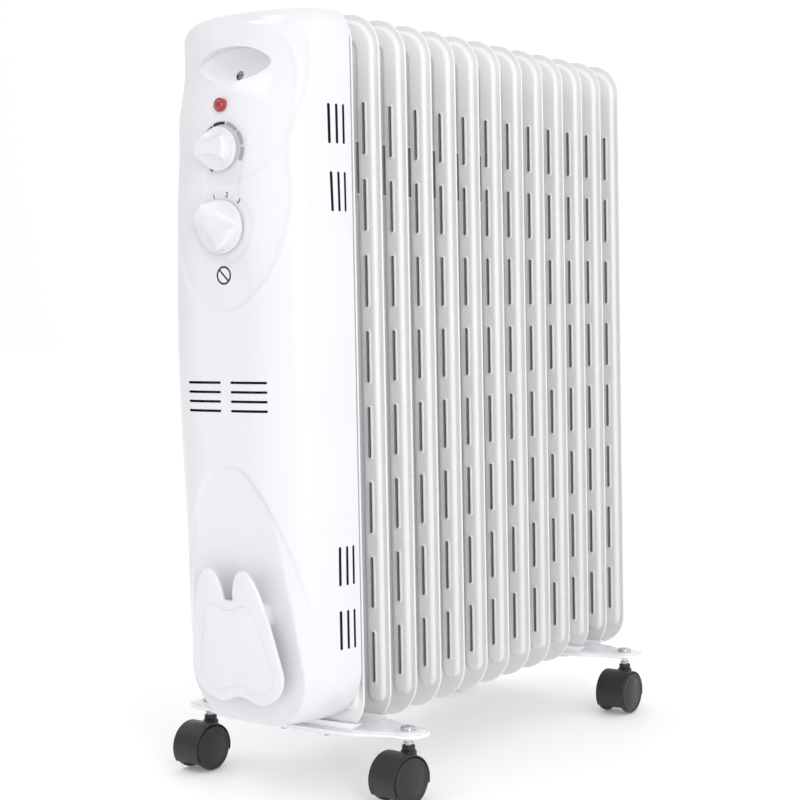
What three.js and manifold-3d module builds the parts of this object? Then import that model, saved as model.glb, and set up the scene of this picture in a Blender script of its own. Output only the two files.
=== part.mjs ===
// Oil filled radiator heater on four twin-wheel castors.
// Millimetres, +Z up. X runs across the fins, the control box faces -Y, the floor is Z = 0.
import * as THREE from 'three';
import { mergeVertices } from 'three/addons/utils/BufferGeometryUtils.js';
import Module from 'manifold-3d';

const wasm = await Module();
wasm.setup();

// ---------------------------------------------------------------- driving dimensions
const GAP = 0.3; // clearance between pieces that touch
const CUT = 1; // how far a cutting tool runs past the face it opens

// fins
const FIN_COUNT = 13;
const FIN_PITCH = 37;
const FIN_WIDTH = 150;
const FIN_HEIGHT = 580;
const FIN_CORNER_R = 30;
const FIN_SHEET = 1.6; // two pressed sheets welded together
const WHEEL_R = 19;
const COLLAR_RISE = 6.2; // from the tops of the wheels to the top of the hood's collar
const COLLAR_TOP_Z = 2 * WHEEL_R + COLLAR_RISE;
const STEM_BARE = 6.8; // from the collar's top to the fins' bottoms
const FIN_BOTTOM_Z = COLLAR_TOP_Z + STEM_BARE;
const FIN_TOP_Z = FIN_BOTTOM_Z + FIN_HEIGHT;
const SLOT_ROWS = 8;
const SLOT_PITCH = 61.4;
const SLOT_LENGTH = 41.9;
const SLOT_WIDTH = 3;
const SLOT_EDGE = 13.4; // from the fin's edge to the slot's middle
const SLOT_TOP = 72; // from the fin's top to the first slot
const INNER_SLOT_EDGE = 20.7; // the single inner slot of each side
const INNER_SLOT_TOP = 103;
const CHAMBER_WIDTH = 72; // oil chamber in the middle of a fin
const CHAMBER_THICK = 17;
const CHAMBER_END = 28; // from the fin's end to the chamber's end
const CHAMBER_WALL = 1;
const HUB_R = 20; // round necks that join the chambers
const HUB_WALL = 2;
const HUB_END = 62; // from the fin's end to the hub's axis
const HUB_SIDES = 8;

// control box
const BOX_HALF_WIDTH = FIN_WIDTH / 2 + 3;
const BOX_DEPTH = 73; // from the first fin to the box's front
const BOX_BOTTOM_Z = FIN_BOTTOM_Z + 13;
const BOX_TOP_Z = FIN_TOP_Z - 3;
const BOX_REAR_GAP = 7; // from the first fin to the cover's rear edge
const BOX_TOP_CORNER_R = 20;
const BOX_BOTTOM_CORNER_R = 44;
const BOX_TOP_ROUND = 22; // soft edge from the front into the top
const BOX_BROW = 13; // the front leans back this far over the controls
const BOX_BROW_DROP = 83; // from the top down to where that lean starts
const BOX_BROW_TALL = 45;
const BOX_BOTTOM_ROUND = 6;
const BOX_TIGHT_CORNER = 53; // soft corner from front to side, where it is tightest
const BOX_TIGHT_DROP = 266; // from the top down to there
const BOX_HIGH_CORNER = 72;
const BOX_LOW_CORNER = 64;
const BOX_FLARE = 198; // height over which the corner widens, up and down
const BOX_END_CORNER = 56; // at the very top
const BOX_END_TALL = 28;
const COVER_WALL = 2.5;

// finger recess at the top of the cover
const RECESS_HALF = 40;
const RECESS_HEIGHT = 34;
const RECESS_BLUNT = 0.6; // roundness of its two ends
const RECESS_FLAT = 0.5; // and of its top and bottom
const RECESS_Z = BOX_TOP_Z - 47;
const RECESS_FLOOR = 49; // from the first fin to the recess floor
const SCREW_HEAD_R = 3.6;
const SCREW_HEAD = 2.6;
const SCREW_SHANK_R = 1.8;
const SCREW_SINK = 5.7; // from the recess floor down to the ledge under the head
const SCREW_BOSS_R = 6.5;
const SCREW_SLOT = 1;
const SCREW_Z = RECESS_Z - 3;

// lower field that the cord wrap stands in
const FIELD_TOP_Z = BOX_BOTTOM_Z + 207;
const FIELD_HALF = 70;
const FIELD_DEPTH_TOP = 70.5; // from the first fin, at the apex
const FIELD_DEPTH_LOW = 50; // from the first fin, at the bottom
const FIELD_PAST_BOTTOM = 10; // how far the outline runs past the box's bottom
const FIELD_ARCH = 0.55; // fullness of the arch

// cord wrap
const WRAP_THICK = 4;
const WRAP_LOW_Z = BOX_BOTTOM_Z + 16.5; // tips of the lower lobes
const WRAP_TOP_Z = WRAP_LOW_Z + 110; // tips of the upper lobes
const WRAP_FACE_TOP = 81.5; // from the first fin to the plate's front face, at the upper tips
const WRAP_FACE_LOW = 64; // the same at the lower tips
const WRAP_HALF = 46; // at the widest place
const WRAP_NOTCH_DEEP = 25.5;
const WRAP_NOTCH_HALF = 5;
const WRAP_DIP = 5; // between the two lower lobes
const WRAP_LOBE_X = WRAP_HALF * 0.4; // tips of the upper lobes
const WRAP_POST_HALF = 33;
const WRAP_POST_TALL = 22;
const WRAP_POST_DROP = 38; // from the upper tips down to the post's middle

// controls
const CONTROL_FACE = 73.8; // from the first fin to the knobs' rear rims
const KNOB_DEPTH = 13.7;
const KNOB_SKIRT = 4.5;
const KNOB_CHAMFER = 1.5;
const BLADE_BROAD_HALF = 5.6;
const BLADE_TIP_HALF = 2.1;
const BLADE_TAIL = 0.9; // of the knob's radius, behind its middle
const THERMO_Z = BOX_TOP_Z - 109;
const THERMO_R = 17;
const THERMO_POINTS = -90; // pointer at rest, degrees clockwise from straight up
const SELECT_Z = BOX_TOP_Z - 169.5;
const SELECT_R = 21;
const SELECT_POINTS = -50;
const SHAFT_R = 3;
const SHAFT_IN_KNOB = 8;
const SHAFT_IN_BODY = 9;
const SWITCH_HALF = 16; // thermostat and selector bodies
const SWITCH_SEAT = 1.8; // from the curved wall to their flat fronts
const SWITCH_DEPTH = 24;
const LAMP_Z = BOX_TOP_Z - 75;
const LAMP_R = 4.8;
const LAMP_PROUD = 3;
const LAMP_SIDE = 1.2; // straight side of the dome
const LAMP_SHOULDER_R = 3.5;
const LAMP_SHOULDER = 2.6;
const LAMP_INSIDE = 14;

// air slots
const SIDE_VENT_WIDTH = 2.4;
const SIDE_VENT_LENGTH = 31;
const SIDE_VENT_PITCH = 7;
const SIDE_VENT_COUNT = 3; // in each group
const SIDE_VENT_FROM_FIN = 16; // from the first fin to the nearest slot
const SIDE_VENT_LOW_SHIFT = -1.5; // the lower groups stand nearer to the first fin
const SIDE_VENT_GROUPS = [
  { top: BOX_TOP_Z - 76, shift: 0 },
  { top: BOX_TOP_Z - 128.5, shift: 0 },
  { top: BOX_BOTTOM_Z + 143, shift: SIDE_VENT_LOW_SHIFT },
  { top: BOX_BOTTOM_Z + 92.5, shift: SIDE_VENT_LOW_SHIFT },
];
const LOUVRE_TOP_Z = BOX_TOP_Z - 291;
const LOUVRE_PITCH = 7.4;
const LOUVRE_ROWS = 4;
const LOUVRE_INNER = 5;
const LOUVRE_OUTER = 40;
const LOUVRE_HEIGHT = 2;
const LOUVRE_CUT = 20; // as deep as the cover's front is thick behind the louvres

// rear housing behind the cover, and what it holds
const HOUSING_WALL = 1.2;
const HOUSING_HALF = BOX_HALF_WIDTH - 12;
const HOUSING_DEPTH = 16;
const HOUSING_BACK = 9; // from the first fin to the housing's back
const HOUSING_MARGIN = 14; // below the box's top and above its bottom
const HOUSING_CORNER_R = 20;
const POST_WALL = 3;
const STRAP_FROM_FIN = 20; // from the first fin to the strap's back
const STRAP_HALF = 8;
const STRAP_LEG = 5;
const TERMINAL_WIDTH = 34;
const TERMINAL_DEPTH = 14;
const TERMINAL_TALL = 12;
const TERMINAL_Z = BOX_BOTTOM_Z + 101;
const GLAND_R = 6.5;
const GLAND_FLANGE_R = 9;
const GLAND_FLANGE = 2.4;
const GLAND_BORE_R = 3.8;
const GLAND_FROM_FIN = 24;
const ELEMENT_ROD_R = 4;
const ELEMENT_SPREAD = 9; // from the hub's axis to each rod
const ELEMENT_REACH = 380;
const ELEMENT_FLANGE = 4;
const ELEMENT_TERMINAL = 12; // of each rod, in front of the flange

// feet
const FOOT_RISE = 4.8; // the plate's top above the fins' bottoms
const FOOT_SHEET = 1.8;
const FOOT_FLANGE = 3.6;
const FOOT_END_R = 17.5;
const FOOT_MID_HALF = 28;
const FOOT_MID_LENGTH = FIN_WIDTH / 2 - 9; // half length of the wide middle
const FOOT_FLARE = 12; // softness of the shoulders, middle side
const FOOT_FLARE_END = 20; // the same, end side
const STEM_X = FIN_WIDTH / 2 + 29.4;
const UBOLT_R = 2.5;
const UBOLT_TAIL = 12; // past the plate's underside
const WING_NUT_R = 4.5;
const WING_NUT_TALL = 6;
const WING_REACH = 10;
const WING_HALF = 1.2;

// castors
const WHEEL_WIDTH = 6;
const CASTOR_WIDTH = 30; // over both wheels
const CASTOR_TRAIL = 11.5;
const HOOD_WALL = 1.3;
const HOOD_CLEAR = 0.7;
const COLLAR_R = 5.4;
const STEM_R = 3;
const AXLE_R = 2;
const NUT_R = 6.4;
const NUT_HEIGHT = 3.4;
const NUT_RIM = 1;
const NUT_SHOULDER_R = 4.5;
const NUT_SHOULDER = 2.7;
const SHOULDER_R = 5;
const SHOULDER = 1.4;
const HOOD_FRONT = 34; // degrees below the axle, front edge of the hood
const HOOD_REAR = 14; // degrees below the axle, rear edge
const WEB_DROP = 7.1; // lowest point of the web under the axle
const HOOD_RIM_STEP = 1; // the hood is this much narrower than the wheels, each side
const SWIVELS = { front_left: -3, front_right: -9, rear_left: 14, rear_right: -1 }; // degrees at rest

// lengthwise places that follow from the sizes above
const FRONT_REACH = CONTROL_FACE + KNOB_DEPTH;
const HUB_LENGTH = FIN_PITCH - GAP;
const HUB_BORE_R = HUB_R - HUB_WALL;
const PLUG_HEAD = 5;
const REAR_REACH = HUB_LENGTH / 2 + GAP + PLUG_HEAD;
const FIN_Y0 = (FRONT_REACH - REAR_REACH - (FIN_COUNT - 1) * FIN_PITCH) / 2;
const HUB_LOW_Z = FIN_BOTTOM_Z + HUB_END;
const HUB_HIGH_Z = FIN_TOP_Z - HUB_END;
const finY = (i) => FIN_Y0 + i * FIN_PITCH;
const ahead = (distance) => FIN_Y0 - distance; // Y of a plane that far in front of the first fin

// ---------------------------------------------------------------- materials
const material = (color, roughness, metalness) =>
  () => new THREE.MeshStandardMaterial({ color, roughness, metalness });
const whiteEnamel = material(0xe4e4e3, 0.3, 0.1);
const whitePlastic = material(0xf1f1f3, 0.28, 0);
const blackNylon = material(0x26262a, 0.5, 0);
const brightSteel = material(0xb9bcc0, 0.25, 1);
const zincSteel = material(0x9aa0a3, 0.4, 1);
const redLens = material(0x8c1410, 0.15, 0);
const darkPhenolic = material(0x2f2a26, 0.6, 0);

// ---------------------------------------------------------------- solids
function solid(geometry) {
  const bare = geometry.index ? geometry.toNonIndexed() : geometry.clone();
  bare.deleteAttribute('normal');
  bare.deleteAttribute('uv');
  const merged = mergeVertices(bare, 1e-4);
  const mesh = new wasm.Mesh({
    numProp: 3,
    vertProperties: new Float32Array(merged.attributes.position.array),
    triVerts: new Uint32Array(merged.index.array),
  });
  return new wasm.Manifold(mesh);
}

// a point that lies this close to its neighbours' flat face or straight edge is dropped
const FLAT = 0.01;
function geometryOf(body) {
  const mesh = body.simplify(FLAT).getMesh();
  const geometry = new THREE.BufferGeometry();
  geometry.setAttribute('position', new THREE.BufferAttribute(new Float32Array(mesh.vertProperties), 3));
  geometry.setIndex(new THREE.BufferAttribute(new Uint32Array(mesh.triVerts), 1));
  geometry.computeVertexNormals();
  return geometry;
}

function box(x0, x1, y0, y1, z0, z1) {
  const geometry = new THREE.BoxGeometry(x1 - x0, y1 - y0, z1 - z0);
  geometry.translate((x0 + x1) / 2, (y0 + y1) / 2, (z0 + z1) / 2);
  return solid(geometry);
}

// round bar along Y, X or Z, from one place to another on its axis
function barY(r, x, z, y0, y1, sides = 16) {
  const geometry = new THREE.CylinderGeometry(r, r, y1 - y0, sides);
  geometry.translate(x, (y0 + y1) / 2, z);
  return solid(geometry);
}
function barX(r, y, z, x0, x1, sides = 16) {
  const geometry = new THREE.CylinderGeometry(r, r, x1 - x0, sides);
  geometry.rotateZ(Math.PI / 2);
  geometry.translate((x0 + x1) / 2, y, z);
  return solid(geometry);
}
function barZ(r, x, y, z0, z1, sides = 16) {
  const geometry = new THREE.CylinderGeometry(r, r, z1 - z0, sides);
  geometry.rotateX(Math.PI / 2);
  geometry.translate(x, y, (z0 + z1) / 2);
  return solid(geometry);
}

// outline drawn in X and Z, as deep as y1 - y0
function slabY(shape, y0, y1, curveSegments = 4) {
  const geometry = new THREE.ExtrudeGeometry(shape, { depth: y1 - y0, bevelEnabled: false, curveSegments });
  geometry.rotateX(Math.PI / 2);
  geometry.translate(0, y1, 0);
  return solid(geometry);
}
// outline drawn in X and Y, as tall as z1 - z0
function slabZ(shape, z0, z1, curveSegments = 6) {
  const geometry = new THREE.ExtrudeGeometry(shape, { depth: z1 - z0, bevelEnabled: false, curveSegments });
  geometry.translate(0, 0, z0);
  return solid(geometry);
}

function roundRect(x0, x1, y0, y1, r) {
  const shape = new THREE.Shape();
  shape.moveTo(x0 + r, y0);
  shape.lineTo(x1 - r, y0);
  shape.absarc(x1 - r, y0 + r, r, -Math.PI / 2, 0, false);
  shape.lineTo(x1, y1 - r);
  shape.absarc(x1 - r, y1 - r, r, 0, Math.PI / 2, false);
  shape.lineTo(x0 + r, y1);
  shape.absarc(x0 + r, y1 - r, r, Math.PI / 2, Math.PI, false);
  shape.lineTo(x0, y0 + r);
  shape.absarc(x0 + r, y0 + r, r, Math.PI, Math.PI * 1.5, false);
  return shape;
}

// rectangle with its corners cut off straight
function cutCorners(x0, x1, y0, y1, c) {
  return new THREE.Shape([
    [x0 + c, y0], [x1 - c, y0], [x1, y0 + c], [x1, y1 - c],
    [x1 - c, y1], [x0 + c, y1], [x0, y1 - c], [x0, y0 + c],
  ].map(([x, y]) => new THREE.Vector2(x, y)));
}

// closed body through rings that all hold the same number of points
function loft(rings) {
  const count = rings[0].length;
  const points = rings.flat();
  const index = [];
  for (let k = 0; k + 1 < rings.length; k += 1) {
    for (let i = 0; i < count; i += 1) {
      const a = k * count + i;
      const b = k * count + ((i + 1) % count);
      index.push(a, b, b + count, a, b + count, a + count);
    }
  }
  const last = (rings.length - 1) * count;
  for (let i = 1; i + 1 < count; i += 1) {
    index.push(0, i + 1, i, last, last + i, last + i + 1);
  }
  const geometry = new THREE.BufferGeometry();
  const coordinates = points.flatMap((p) => [p.x, p.y, p.z]);
  geometry.setAttribute('position', new THREE.Float32BufferAttribute(coordinates, 3));
  geometry.setIndex(index);
  return solid(geometry);
}

const radiator = new THREE.Group();
function add(name, body, finish, parent = radiator) {
  const mesh = new THREE.Mesh(geometryOf(body), finish());
  mesh.name = name;
  parent.add(mesh);
}

// ---------------------------------------------------------------- fins
const FIN_HALF = FIN_WIDTH / 2;
const fullOutline = (grow) => roundRect(
  -FIN_HALF - grow, FIN_HALF + grow, FIN_BOTTOM_Z - grow, FIN_TOP_Z + grow, FIN_CORNER_R + grow,
);

function finSolid() {
  let body = slabY(fullOutline(0), -FIN_SHEET / 2, FIN_SHEET / 2, 2);

  const chamberHalf = CHAMBER_WIDTH / 2;
  const chamberLow = FIN_BOTTOM_Z + CHAMBER_END;
  const chamberTop = FIN_TOP_Z - CHAMBER_END;
  const chamber = cutCorners(-chamberHalf, chamberHalf, chamberLow, chamberTop, chamberHalf / 2);
  body = body.add(slabY(chamber, -CHAMBER_THICK / 2, CHAMBER_THICK / 2, 1));
  for (const z of [HUB_LOW_Z, HUB_HIGH_Z]) {
    body = body.add(barY(HUB_R, 0, z, -HUB_LENGTH / 2, HUB_LENGTH / 2, HUB_SIDES));
  }

  const wall = CHAMBER_WALL;
  const hollowHalf = chamberHalf - wall;
  const hollowY = CHAMBER_THICK / 2 - wall;
  const hollow = cutCorners(-hollowHalf, hollowHalf, chamberLow + wall, chamberTop - wall, hollowHalf / 2);
  body = body.subtract(slabY(hollow, -hollowY, hollowY, 1));
  for (const z of [HUB_LOW_Z, HUB_HIGH_Z]) {
    body = body.subtract(barY(HUB_BORE_R, 0, z, -HUB_LENGTH / 2 - CUT, HUB_LENGTH / 2 + CUT, HUB_SIDES));
  }

  const cutDepth = FIN_SHEET / 2 + CUT;
  const slot = (x, top) => box(
    x - SLOT_WIDTH / 2, x + SLOT_WIDTH / 2, -cutDepth, cutDepth, top - SLOT_LENGTH, top,
  );
  for (const side of [-1, 1]) {
    for (let row = 0; row < SLOT_ROWS; row += 1) {
      body = body.subtract(slot(side * (FIN_HALF - SLOT_EDGE), FIN_TOP_Z - SLOT_TOP - row * SLOT_PITCH));
    }
    body = body.subtract(slot(side * (FIN_HALF - INNER_SLOT_EDGE), FIN_TOP_Z - INNER_SLOT_TOP));
  }
  return body;
}

// the two outer hub ends that carry neither the plug nor the heating element are closed
const hubCap = (z, y0) => barY(HUB_R - HUB_WALL / 2, 0, z, y0, y0 + HUB_WALL, HUB_SIDES);
const middleFin = finSolid();
for (let i = 0; i < FIN_COUNT; i += 1) {
  let body = middleFin;
  if (i === 0) body = body.add(hubCap(HUB_HIGH_Z, -HUB_LENGTH / 2));
  if (i === FIN_COUNT - 1) body = body.add(hubCap(HUB_LOW_Z, HUB_LENGTH / 2 - HUB_WALL));
  add(`fin_${String(i + 1).padStart(2, '0')}`, body.translate([0, finY(i), 0]), whiteEnamel);
}

// screwed plug that closes the last upper hub
function fillerPlug() {
  const SPIGOT = 8;
  const seat = finY(FIN_COUNT - 1) + HUB_LENGTH / 2 + GAP;
  const spigot = barY(HUB_BORE_R - 2 * GAP, 0, HUB_HIGH_Z, seat - SPIGOT, seat + CUT, HUB_SIDES);
  return spigot.add(barY(HUB_R, 0, HUB_HIGH_Z, seat, seat + PLUG_HEAD, 6));
}
add('oil_filler_plug', fillerPlug(), zincSteel);

// tubular heater: two rods joined by a cross bar, on a flange that closes the first lower hub
function heatingElement() {
  const seat = ahead(HUB_LENGTH / 2 + GAP);
  const far = seat + ELEMENT_REACH;
  let body = barY(HUB_R, 0, HUB_LOW_Z, seat - ELEMENT_FLANGE, seat, 12);
  for (const side of [-1, 1]) {
    body = body.add(barY(ELEMENT_ROD_R, side * ELEMENT_SPREAD, HUB_LOW_Z, seat - ELEMENT_TERMINAL, far, 8));
  }
  const end = ELEMENT_SPREAD + ELEMENT_ROD_R;
  const low = HUB_LOW_Z - ELEMENT_ROD_R;
  return body.add(box(-end, end, far, far + 2 * ELEMENT_ROD_R, low, low + 2 * ELEMENT_ROD_R));
}
add('heating_element', heatingElement(), zincSteel);

// ---------------------------------------------------------------- control box
// half width, front depth and corner of the box's plan outline at one height
function boxPlan(z) {
  const { clamp, smoothstep } = THREE.MathUtils;
  let half = BOX_HALF_WIDTH;
  let depth = BOX_DEPTH;
  const quarter = (r, past) => r - Math.sqrt(Math.max(r * r - past * past, 0));
  half -= quarter(BOX_TOP_CORNER_R, Math.max(z - (BOX_TOP_Z - BOX_TOP_CORNER_R), 0));
  half -= quarter(BOX_BOTTOM_CORNER_R, Math.max(BOX_BOTTOM_Z + BOX_BOTTOM_CORNER_R - z, 0));
  depth -= quarter(BOX_TOP_ROUND, Math.max(z - (BOX_TOP_Z - BOX_TOP_ROUND), 0));
  depth -= quarter(BOX_BOTTOM_ROUND, Math.max(BOX_BOTTOM_Z + BOX_BOTTOM_ROUND - z, 0));
  const brow = BOX_TOP_Z - BOX_BROW_DROP;
  depth -= BOX_BROW * smoothstep(z, brow, brow + BOX_BROW_TALL);
  const tight = BOX_TOP_Z - BOX_TIGHT_DROP;
  const above = clamp((z - tight) / BOX_FLARE, 0, 1);
  let corner = BOX_TIGHT_CORNER + (BOX_HIGH_CORNER - BOX_TIGHT_CORNER) * above * above;
  corner += (BOX_LOW_CORNER - BOX_TIGHT_CORNER) * smoothstep(tight - z, 0, BOX_FLARE);
  corner -= (BOX_HIGH_CORNER - BOX_END_CORNER) * smoothstep(z, BOX_TOP_Z - BOX_END_TALL, BOX_TOP_Z);
  return { half, depth, corner };
}

// the plan outline of one level, moved inwards by inset and set at height z, flat at the rear
function boxRing(level, z, inset, rear) {
  const CORNER_STEPS = 5;
  const plan = boxPlan(level);
  const half = plan.half - inset;
  const depth = plan.depth - inset;
  const rx = Math.min(plan.corner - inset, half - 2);
  const ry = Math.min(plan.corner - inset, depth - rear - 2);
  const ring = [];
  for (const side of [1, -1]) {
    const arc = [];
    arc.push(new THREE.Vector3(side * half, ahead(rear), z));
    for (let i = 0; i <= CORNER_STEPS; i += 1) {
      const a = (i / CORNER_STEPS) * (Math.PI / 2);
      const x = side * (half - rx + rx * Math.cos(a));
      arc.push(new THREE.Vector3(x, ahead(depth - ry + ry * Math.sin(a)), z));
    }
    ring.push(...(side > 0 ? arc : arc.reverse()));
  }
  return ring.reverse();
}

// heights of the plan outlines, as parts of the box's height: closer where it rounds in
const BOX_LEVELS = [0, 0.008, 0.04, 0.09, 0.25, 0.5, 0.7, 0.85, 0.9, 0.94, 0.965, 0.985, 1];
function boxBody(inset, rear) {
  const low = BOX_BOTTOM_Z + inset;
  const high = BOX_TOP_Z - inset;
  const level = (s) => BOX_BOTTOM_Z + s * (BOX_TOP_Z - BOX_BOTTOM_Z);
  return loft(BOX_LEVELS.map((s) => boxRing(level(s), low + s * (high - low), inset, rear)));
}

// eye-shaped outline of the finger recess, grown by a margin
function recessShape(grow) {
  const half = RECESS_HALF + grow;
  const rise = RECESS_HEIGHT / 2 + grow;
  const blunt = rise * RECESS_BLUNT;
  const flat = half * RECESS_FLAT;
  const shape = new THREE.Shape();
  shape.moveTo(-half, RECESS_Z);
  shape.bezierCurveTo(-half, RECESS_Z - blunt, -flat, RECESS_Z - rise, 0, RECESS_Z - rise);
  shape.bezierCurveTo(flat, RECESS_Z - rise, half, RECESS_Z - blunt, half, RECESS_Z);
  shape.bezierCurveTo(half, RECESS_Z + blunt, flat, RECESS_Z + rise, 0, RECESS_Z + rise);
  shape.bezierCurveTo(-flat, RECESS_Z + rise, -half, RECESS_Z + blunt, -half, RECESS_Z);
  return shape;
}

// arched outline of the lower field, grown by a margin
function fieldShape(grow) {
  const half = FIELD_HALF + grow;
  const top = FIELD_TOP_Z + grow;
  const low = BOX_BOTTOM_Z - FIELD_PAST_BOTTOM;
  const shoulder = low + (top - low) * FIELD_ARCH;
  const shape = new THREE.Shape();
  shape.moveTo(-half, low);
  shape.lineTo(half, low);
  shape.bezierCurveTo(half, shoulder, half * FIELD_ARCH, top, 0, top);
  shape.bezierCurveTo(-half * FIELD_ARCH, top, -half, shoulder, -half, low);
  return shape;
}
const fieldTilt = Math.atan2(FIELD_DEPTH_TOP - FIELD_DEPTH_LOW, FIELD_TOP_Z - BOX_BOTTOM_Z);
// turns a body about the X line through the field's apex, so that its -Y plane follows the field
function tiltWithField(body) {
  const pivot = [0, ahead(FIELD_DEPTH_TOP), FIELD_TOP_Z];
  const back = body.translate(pivot.map((v) => -v));
  return back.rotate([THREE.MathUtils.radToDeg(fieldTilt), 0, 0]).translate(pivot);
}

const INNER_FACE = ahead(BOX_DEPTH - COVER_WALL);
const COVER_FLOOR_Z = BOX_BOTTOM_Z + COVER_WALL;

function coverSolid() {
  const outer = boxBody(0, BOX_REAR_GAP);
  let cover = outer.subtract(boxBody(COVER_WALL, BOX_REAR_GAP - CUT));
  const front = ahead(BOX_DEPTH) - CUT;
  const farAhead = front - BOX_DEPTH;

  // pocket walls first, then the pockets
  const recessBack = ahead(RECESS_FLOOR);
  cover = cover.add(slabY(recessShape(COVER_WALL), front, recessBack + COVER_WALL, 4).intersect(outer));
  const fieldBack = ahead(FIELD_DEPTH_TOP);
  const fieldLining = tiltWithField(slabY(fieldShape(COVER_WALL), farAhead, fieldBack + COVER_WALL, 5));
  cover = cover.add(fieldLining.intersect(outer));
  cover = cover.subtract(slabY(recessShape(0), front, recessBack, 4));
  cover = cover.subtract(tiltWithField(slabY(fieldShape(0), farAhead, fieldBack, 5)));

  // boss with a deep ledge for the cover screw
  const ledge = ahead(RECESS_FLOOR - SCREW_SINK);
  cover = cover.add(barY(SCREW_BOSS_R, 0, SCREW_Z, recessBack + CUT, ledge + COVER_WALL, 12));
  cover = cover.subtract(barY(SCREW_HEAD_R + GAP, 0, SCREW_Z, recessBack - CUT, ledge, 12));
  cover = cover.subtract(barY(SCREW_SHANK_R + GAP, 0, SCREW_Z, ledge - CUT, ledge + COVER_WALL + CUT, 8));

  // lamp and shaft holes, and the cord gland's hole through the bottom
  const holes = [[LAMP_R + GAP, LAMP_Z], [SHAFT_R + 2 * GAP, THERMO_Z], [SHAFT_R + 2 * GAP, SELECT_Z]];
  for (const [r, z] of holes) {
    cover = cover.subtract(barY(r, 0, z, front, INNER_FACE + BOX_BROW, 12));
  }
  const glandY = ahead(GLAND_FROM_FIN);
  cover = cover.subtract(barZ(GLAND_R + GAP, 0, glandY, BOX_BOTTOM_Z - CUT, COVER_FLOOR_Z + CUT, 12));

  // louvres and side vents
  for (const side of [-1, 1]) {
    for (let row = 0; row < LOUVRE_ROWS; row += 1) {
      const z = LOUVRE_TOP_Z - row * LOUVRE_PITCH;
      const x0 = side > 0 ? LOUVRE_INNER : -LOUVRE_OUTER;
      const x1 = side > 0 ? LOUVRE_OUTER : -LOUVRE_INNER;
      const y1 = ahead(BOX_DEPTH - LOUVRE_CUT);
      cover = cover.subtract(box(x0, x1, front, y1, z - LOUVRE_HEIGHT / 2, z + LOUVRE_HEIGHT / 2));
    }
    const [x0, x1] = side > 0 ? [HOUSING_HALF, BOX_HALF_WIDTH + CUT] : [-BOX_HALF_WIDTH - CUT, -HOUSING_HALF];
    for (const { top, shift } of SIDE_VENT_GROUPS) {
      for (let k = 0; k < SIDE_VENT_COUNT; k += 1) {
        const y = ahead(SIDE_VENT_FROM_FIN + shift + k * SIDE_VENT_PITCH);
        const half = SIDE_VENT_WIDTH / 2;
        cover = cover.subtract(box(x0, x1, y - half, y + half, top - SIDE_VENT_LENGTH, top));
      }
    }
  }
  return cover;
}
add('control_cover', coverSolid(), whitePlastic);

// pressed tray between the cover and the first fin
function housingSolid() {
  const low = BOX_BOTTOM_Z + HOUSING_MARGIN;
  const high = BOX_TOP_Z - HOUSING_MARGIN;
  const back = ahead(HOUSING_BACK);
  const w = HOUSING_WALL;
  const outline = roundRect(-HOUSING_HALF, HOUSING_HALF, low, high, HOUSING_CORNER_R);
  const hollow = roundRect(-HOUSING_HALF + w, HOUSING_HALF - w, low + w, high - w, HOUSING_CORNER_R - w);
  let tray = slabY(outline, back - HOUSING_DEPTH, back, 2);
  tray = tray.subtract(slabY(hollow, back - HOUSING_DEPTH - CUT, back - w, 2));
  for (const z of [HUB_LOW_Z, HUB_HIGH_Z]) {
    tray = tray.subtract(barY(HUB_R + 2 * GAP, 0, z, back - HOUSING_DEPTH - CUT, back + CUT, 16));
  }
  // strap over the upper hub, with the tube that takes the cover screw
  const inner = HUB_R + 4 * GAP;
  const outer = inner + STRAP_LEG;
  const strapBack = ahead(STRAP_FROM_FIN);
  const [z0, z1] = [SCREW_Z - STRAP_HALF, SCREW_Z + STRAP_HALF];
  tray = tray.add(box(-outer, outer, strapBack - HOUSING_WALL, strapBack, z0, z1));
  for (const side of [-1, 1]) {
    const [x0, x1] = side > 0 ? [inner, outer] : [-outer, -inner];
    tray = tray.add(box(x0, x1, strapBack - w / 2, back - w / 2, z0, z1));
  }
  const postTop = ahead(RECESS_FLOOR - SCREW_SINK - COVER_WALL - GAP);
  tray = tray.add(barY(SCREW_SHANK_R + POST_WALL, 0, SCREW_Z, postTop, strapBack - w / 2, 10));
  return tray.subtract(barY(SCREW_SHANK_R + GAP, 0, SCREW_Z, postTop - CUT, strapBack + CUT, 8));
}
add('rear_housing', housingSolid(), whiteEnamel);

function coverScrew() {
  const seat = ahead(RECESS_FLOOR - SCREW_SINK) - GAP;
  const head = barY(SCREW_HEAD_R, 0, SCREW_Z, seat - SCREW_HEAD, seat, 12);
  const shank = barY(SCREW_SHANK_R, 0, SCREW_Z, seat - CUT, ahead(STRAP_FROM_FIN), 8);
  const slotHalf = SCREW_SLOT / 2;
  const slotCut = box(
    -SCREW_HEAD_R, SCREW_HEAD_R, seat - SCREW_HEAD - CUT, seat - SCREW_HEAD / 2,
    SCREW_Z - slotHalf, SCREW_Z + slotHalf,
  );
  return head.add(shank).subtract(slotCut);
}
add('cover_screw', coverScrew(), zincSteel);

function cordGland() {
  const y = ahead(GLAND_FROM_FIN);
  const low = BOX_BOTTOM_Z - GAP - GLAND_FLANGE;
  const high = COVER_FLOOR_Z + GAP + GLAND_FLANGE;
  let body = barZ(GLAND_R, 0, y, low, high, 12);
  body = body.add(barZ(GLAND_FLANGE_R, 0, y, low, low + GLAND_FLANGE, 12));
  body = body.add(barZ(GLAND_FLANGE_R, 0, y, high - GLAND_FLANGE, high, 12));
  return body.subtract(barZ(GLAND_BORE_R, 0, y, low - CUT, high + CUT, 12));
}
add('cord_gland', cordGland(), blackNylon);

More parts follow.
